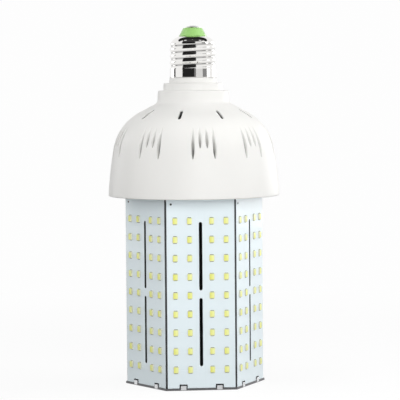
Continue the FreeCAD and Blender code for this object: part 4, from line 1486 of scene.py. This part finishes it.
@dataclass
class Studio:
    """The camera, the pale floor, the soft lamps and the cards that the cap mirrors."""

    # The camera.
    azimuth: float = -5.93
    distance: float = 1177.3
    camera_height: float = 173.54
    aim_height: float = BULB_MIDDLE
    side_step: float = 3.35
    roll: float = -0.465
    lens: float = 188.7
    sensor: float = 36.0
    # The backdrop, the sky as light, the floor in metres and how finely a card is drawn.
    white: float = 0.985
    sky: float = 0.26
    floor_size: float = 6.0
    floor_drop: float = 0.0001
    floor_colour: float = 0.14
    shadow_share: float = 0.12
    shadow_reach: Point = (0.12, 0.5)
    card_columns: int = 12
    card_steps: int = 6
    lamps: tuple[SoftLamp, ...] = (
        SoftLamp("near_lamp", 8.0, 3.0, 0.3, 0.16, 0.14, 125.0, False),
        SoftLamp("front_lamp", 10.0, 4.0, 0.45, 0.3, 0.95, 135.0, False),
        SoftLamp("left_lamp", -46.0, 4.0, 0.28, 0.16, 0.125, 140.0, False),
        SoftLamp("right_lamp", 72.0, 10.0, 0.6, 0.35, 0.88, 110.0),
        SoftLamp("top_lamp", -70.0, 72.0, 0.8, 0.5, 2.2, 150.0, False),
        SoftLamp("right_top_lamp", 100.0, 45.0, 0.8, 0.5, 2.2, 150.0, False),
        SoftLamp("left_back_lamp", -115.0, 8.0, 0.8, 0.5, 1.35, 140.0),
        SoftLamp("right_back_lamp", 132.0, 4.0, 1.2, 0.8, 5.0),
    )
    cards: tuple[MirrorCard, ...] = (
        MirrorCard("low_card", 0.02, ((-20.0, -52.5, 6.0), (-8.0, -52.5, 6.0)), 0.5),
        MirrorCard("edge_card", 0.2, ((-20.0, 6.0, 14.5), (20.0, 7.0, 15.5), (35.0, 8.0, 16.5)), 0.5),
        MirrorCard("front_card", 0.02, (
            (-11.0, -52.5, 13.5), (20.0, -54.5, 14.5), (35.0, -59.5, 15.5), (60.0, -86.5, 19.5))),
        MirrorCard("pale_card", 0.77, ((-14.0, 16.0, 48.5), (25.0, 16.0, 48.5)), 0.6),
        MirrorCard("grey_card", 0.25, ((-14.0, 48.5, 73.0), (25.0, 48.5, 73.0)), 0.45),
        MirrorCard("side_strip", 0.05, ((-14.0, -108.0, -95.0), (25.0, -108.0, -95.0)), 0.6),
        MirrorCard("ceiling_card", 0.05, (
            (58.0, -98.0, 98.0), (75.0, -110.0, 110.0), (89.0, -150.0, 150.0))),
        MirrorCard("back_card", 0.02, ((45.0, 100.0, 260.0), (89.0, 100.0, 260.0))),
        MirrorCard("left_window", 1.0, ((63.0, -96.0, -76.0), (71.0, -96.0, -76.0)), 0.9),
        MirrorCard("right_window", 1.0, ((63.0, 76.0, 96.0), (71.0, 76.0, 96.0)), 0.9),
    )

    def direction(self, azimuth: float, elevation: float) -> Vector:
        """The way from the object to a place beside the camera.

        Args:
            azimuth: degrees to the right of the camera
            elevation: degrees above the floor

        Returns:
            A direction of length 1.
        """
        turn = math.radians(FRONT_TURN + self.azimuth + azimuth)
        rise = math.radians(elevation)
        return Vector((math.cos(turn) * math.cos(rise), math.sin(turn) * math.cos(rise), math.sin(rise)))

    def camera(self) -> None:
        """Set up the camera at the photograph's place and angle."""
        back = self.direction(0.0, 0.0)
        right = Vector((-back.y, back.x, 0.0))
        shift = right * self.side_step
        spot = back * self.distance + Vector((0.0, 0.0, self.camera_height)) + shift
        aim = Vector((0.0, 0.0, self.aim_height)) + shift
        away = (spot - aim).normalized()
        up = away.cross(right)
        roll = math.radians(self.roll)
        axis_x = right * math.cos(roll) + up * math.sin(roll)
        axis_y = up * math.cos(roll) - right * math.sin(roll)
        data = bpy.data.cameras.new("photo_camera")
        data.lens, data.sensor_width = self.lens, self.sensor
        camera = put("photo_camera", data)
        turn = Matrix((axis_x, axis_y, away)).transposed().to_4x4()
        camera.matrix_world = Matrix.Translation(spot * MM) @ turn
        bpy.context.scene.camera = camera

    def hang(self, lamp: SoftLamp) -> None:
        """Hang a soft square lamp that looks at the bulb.

        Args:
            lamp: the lamp
        """
        data = bpy.data.lights.new(lamp.name, "AREA")
        data.shape, data.size, data.energy = "SQUARE", lamp.size, lamp.power
        piece = put(lamp.name, data)
        way = self.direction(lamp.azimuth, lamp.elevation)
        piece.location = way * lamp.reach + Vector((0.0, 0.0, lamp.aim * MM))
        piece.rotation_euler = way.to_track_quat("Z", "Y").to_euler()
        piece.visible_camera = False
        piece.visible_glossy = lamp.mirrored

    def seen(self, sheet: ShaderSheet) -> Socket:
        """Tell what the camera sees, directly or in metal and glass, from what lights the bulb.

        Args:
            sheet: the sheet that is being filled

        Returns:
            The output that holds 1 for what is seen, else 0.
        """
        path = sheet.node("ShaderNodeLightPath").outputs
        mirrored = sheet.sum("MAXIMUM", path["Is Glossy Ray"], path["Is Transmission Ray"])
        return sheet.sum("MAXIMUM", path["Is Camera Ray"], mirrored)

    def world(self) -> None:
        """A white backdrop, with a softer sky as light."""
        world = bpy.data.worlds.new("white_studio")
        bpy.context.scene.world = world
        sheet = ShaderSheet(world)
        sky, backdrop = (
            sheet.node("ShaderNodeBackground", {"Color": rgba(PURE_WHITE), "Strength": strength}).outputs[0]
            for strength in (self.sky, self.white))
        sheet.close(sheet.node("ShaderNodeMixShader", {0: self.seen(sheet), 1: sky, 2: backdrop}))

    def floor(self) -> None:
        """A plain pale floor that fades into the backdrop and keeps the bulb's soft shadow."""
        half = self.floor_size / 2.0
        data = bpy.data.meshes.new("studio_floor")
        corners = [(-half, -half, 0.0), (half, -half, 0.0), (half, half, 0.0), (-half, half, 0.0)]
        data.from_pydata(corners, [], [(0, 1, 2, 3)])
        floor = put("studio_floor", data)
        floor.location.z = -self.floor_drop
        sheet = ShaderSheet(bpy.data.materials.new("studio_floor"))
        paper = sheet.node("ShaderNodeBsdfDiffuse", {"Color": rgba((self.floor_colour,) * 3)})
        faint = sheet.node("ShaderNodeBsdfDiffuse", {"Color": rgba((self.shadow_share,) * 3)})
        glow = sheet.node("ShaderNodeEmission", {"Strength": self.white - self.shadow_share})
        plain = sheet.node("ShaderNodeEmission", {"Strength": self.white})
        near = sheet.node("ShaderNodeAddShader", {0: faint.outputs[0], 1: glow.outputs[0]})
        spot = sheet.node("ShaderNodeNewGeometry").outputs["Position"]
        away = sheet.node("ShaderNodeVectorMath", {0: spot}, operation="LENGTH").outputs["Value"]
        fade = sheet.spread(away, self.shadow_reach, (0.0, 1.0))
        shown = sheet.node("ShaderNodeMixShader", {0: fade, 1: near.outputs[0], 2: plain.outputs[0]})
        shares = {0: self.seen(sheet), 1: paper.outputs[0], 2: shown.outputs[0]}
        sheet.close(sheet.node("ShaderNodeMixShader", shares))
        data.materials.append(sheet.owner)

    def stand(self, card: MirrorCard) -> None:
        """Stand a card round the bulb.

        Args:
            card: the card
        """
        columns, steps = self.card_columns, self.card_steps
        points, faces = [], []
        levels = [card.rows[0]]
        for low, high in zip(card.rows, card.rows[1:]):
            for step in range(1, steps + 1):
                levels.append(tuple(a + (b - a) * step / steps for a, b in zip(low, high)))
        for elevation, left, right in levels:
            for column in range(columns + 1):
                azimuth = left + (right - left) * column / columns
                points.append(self.direction(azimuth, elevation) * card.reach)
        for row in range(len(levels) - 1):
            for column in range(columns):
                corner = row * (columns + 1) + column
                faces.append((corner, corner + 1, corner + columns + 2, corner + columns + 1))
        data = bpy.data.meshes.new(card.name)
        data.from_pydata(points, [], faces)
        sheet = ShaderSheet(bpy.data.materials.new(card.name))
        sheet.close(sheet.node("ShaderNodeEmission", {"Color": rgba((card.tone,) * 3), "Strength": 1.0}))
        data.materials.append(sheet.owner)
        piece = put(card.name, data)
        piece.location.z = node_box("screw_shell")[1].z * MM
        for kind in ("camera", "diffuse", "transmission", "volume_scatter", "shadow"):
            setattr(piece, f"visible_{kind}", False)

    def build(self) -> None:
        """Set up the camera, the light and the backdrop."""
        self.camera()
        self.world()
        self.floor()
        for lamp in self.lamps:
            self.hang(lamp)
        for card in self.cards:
            self.stand(card)
        bpy.context.scene.view_settings.view_transform = "Standard"


def main() -> None:
    """Build the bulb's pieces in order, then the studio round them."""
    logging.basicConfig(level=logging.INFO, format="%(message)s")
    ScrewCap().build()
    Dome().build()
    boards = LightBoards()
    boards.build()
    LedGroups(boards).build()
    EndPlate(boards).build()
    InnerWorks().dress()
    Studio().build()


if __name__ == "__main__":
    main()
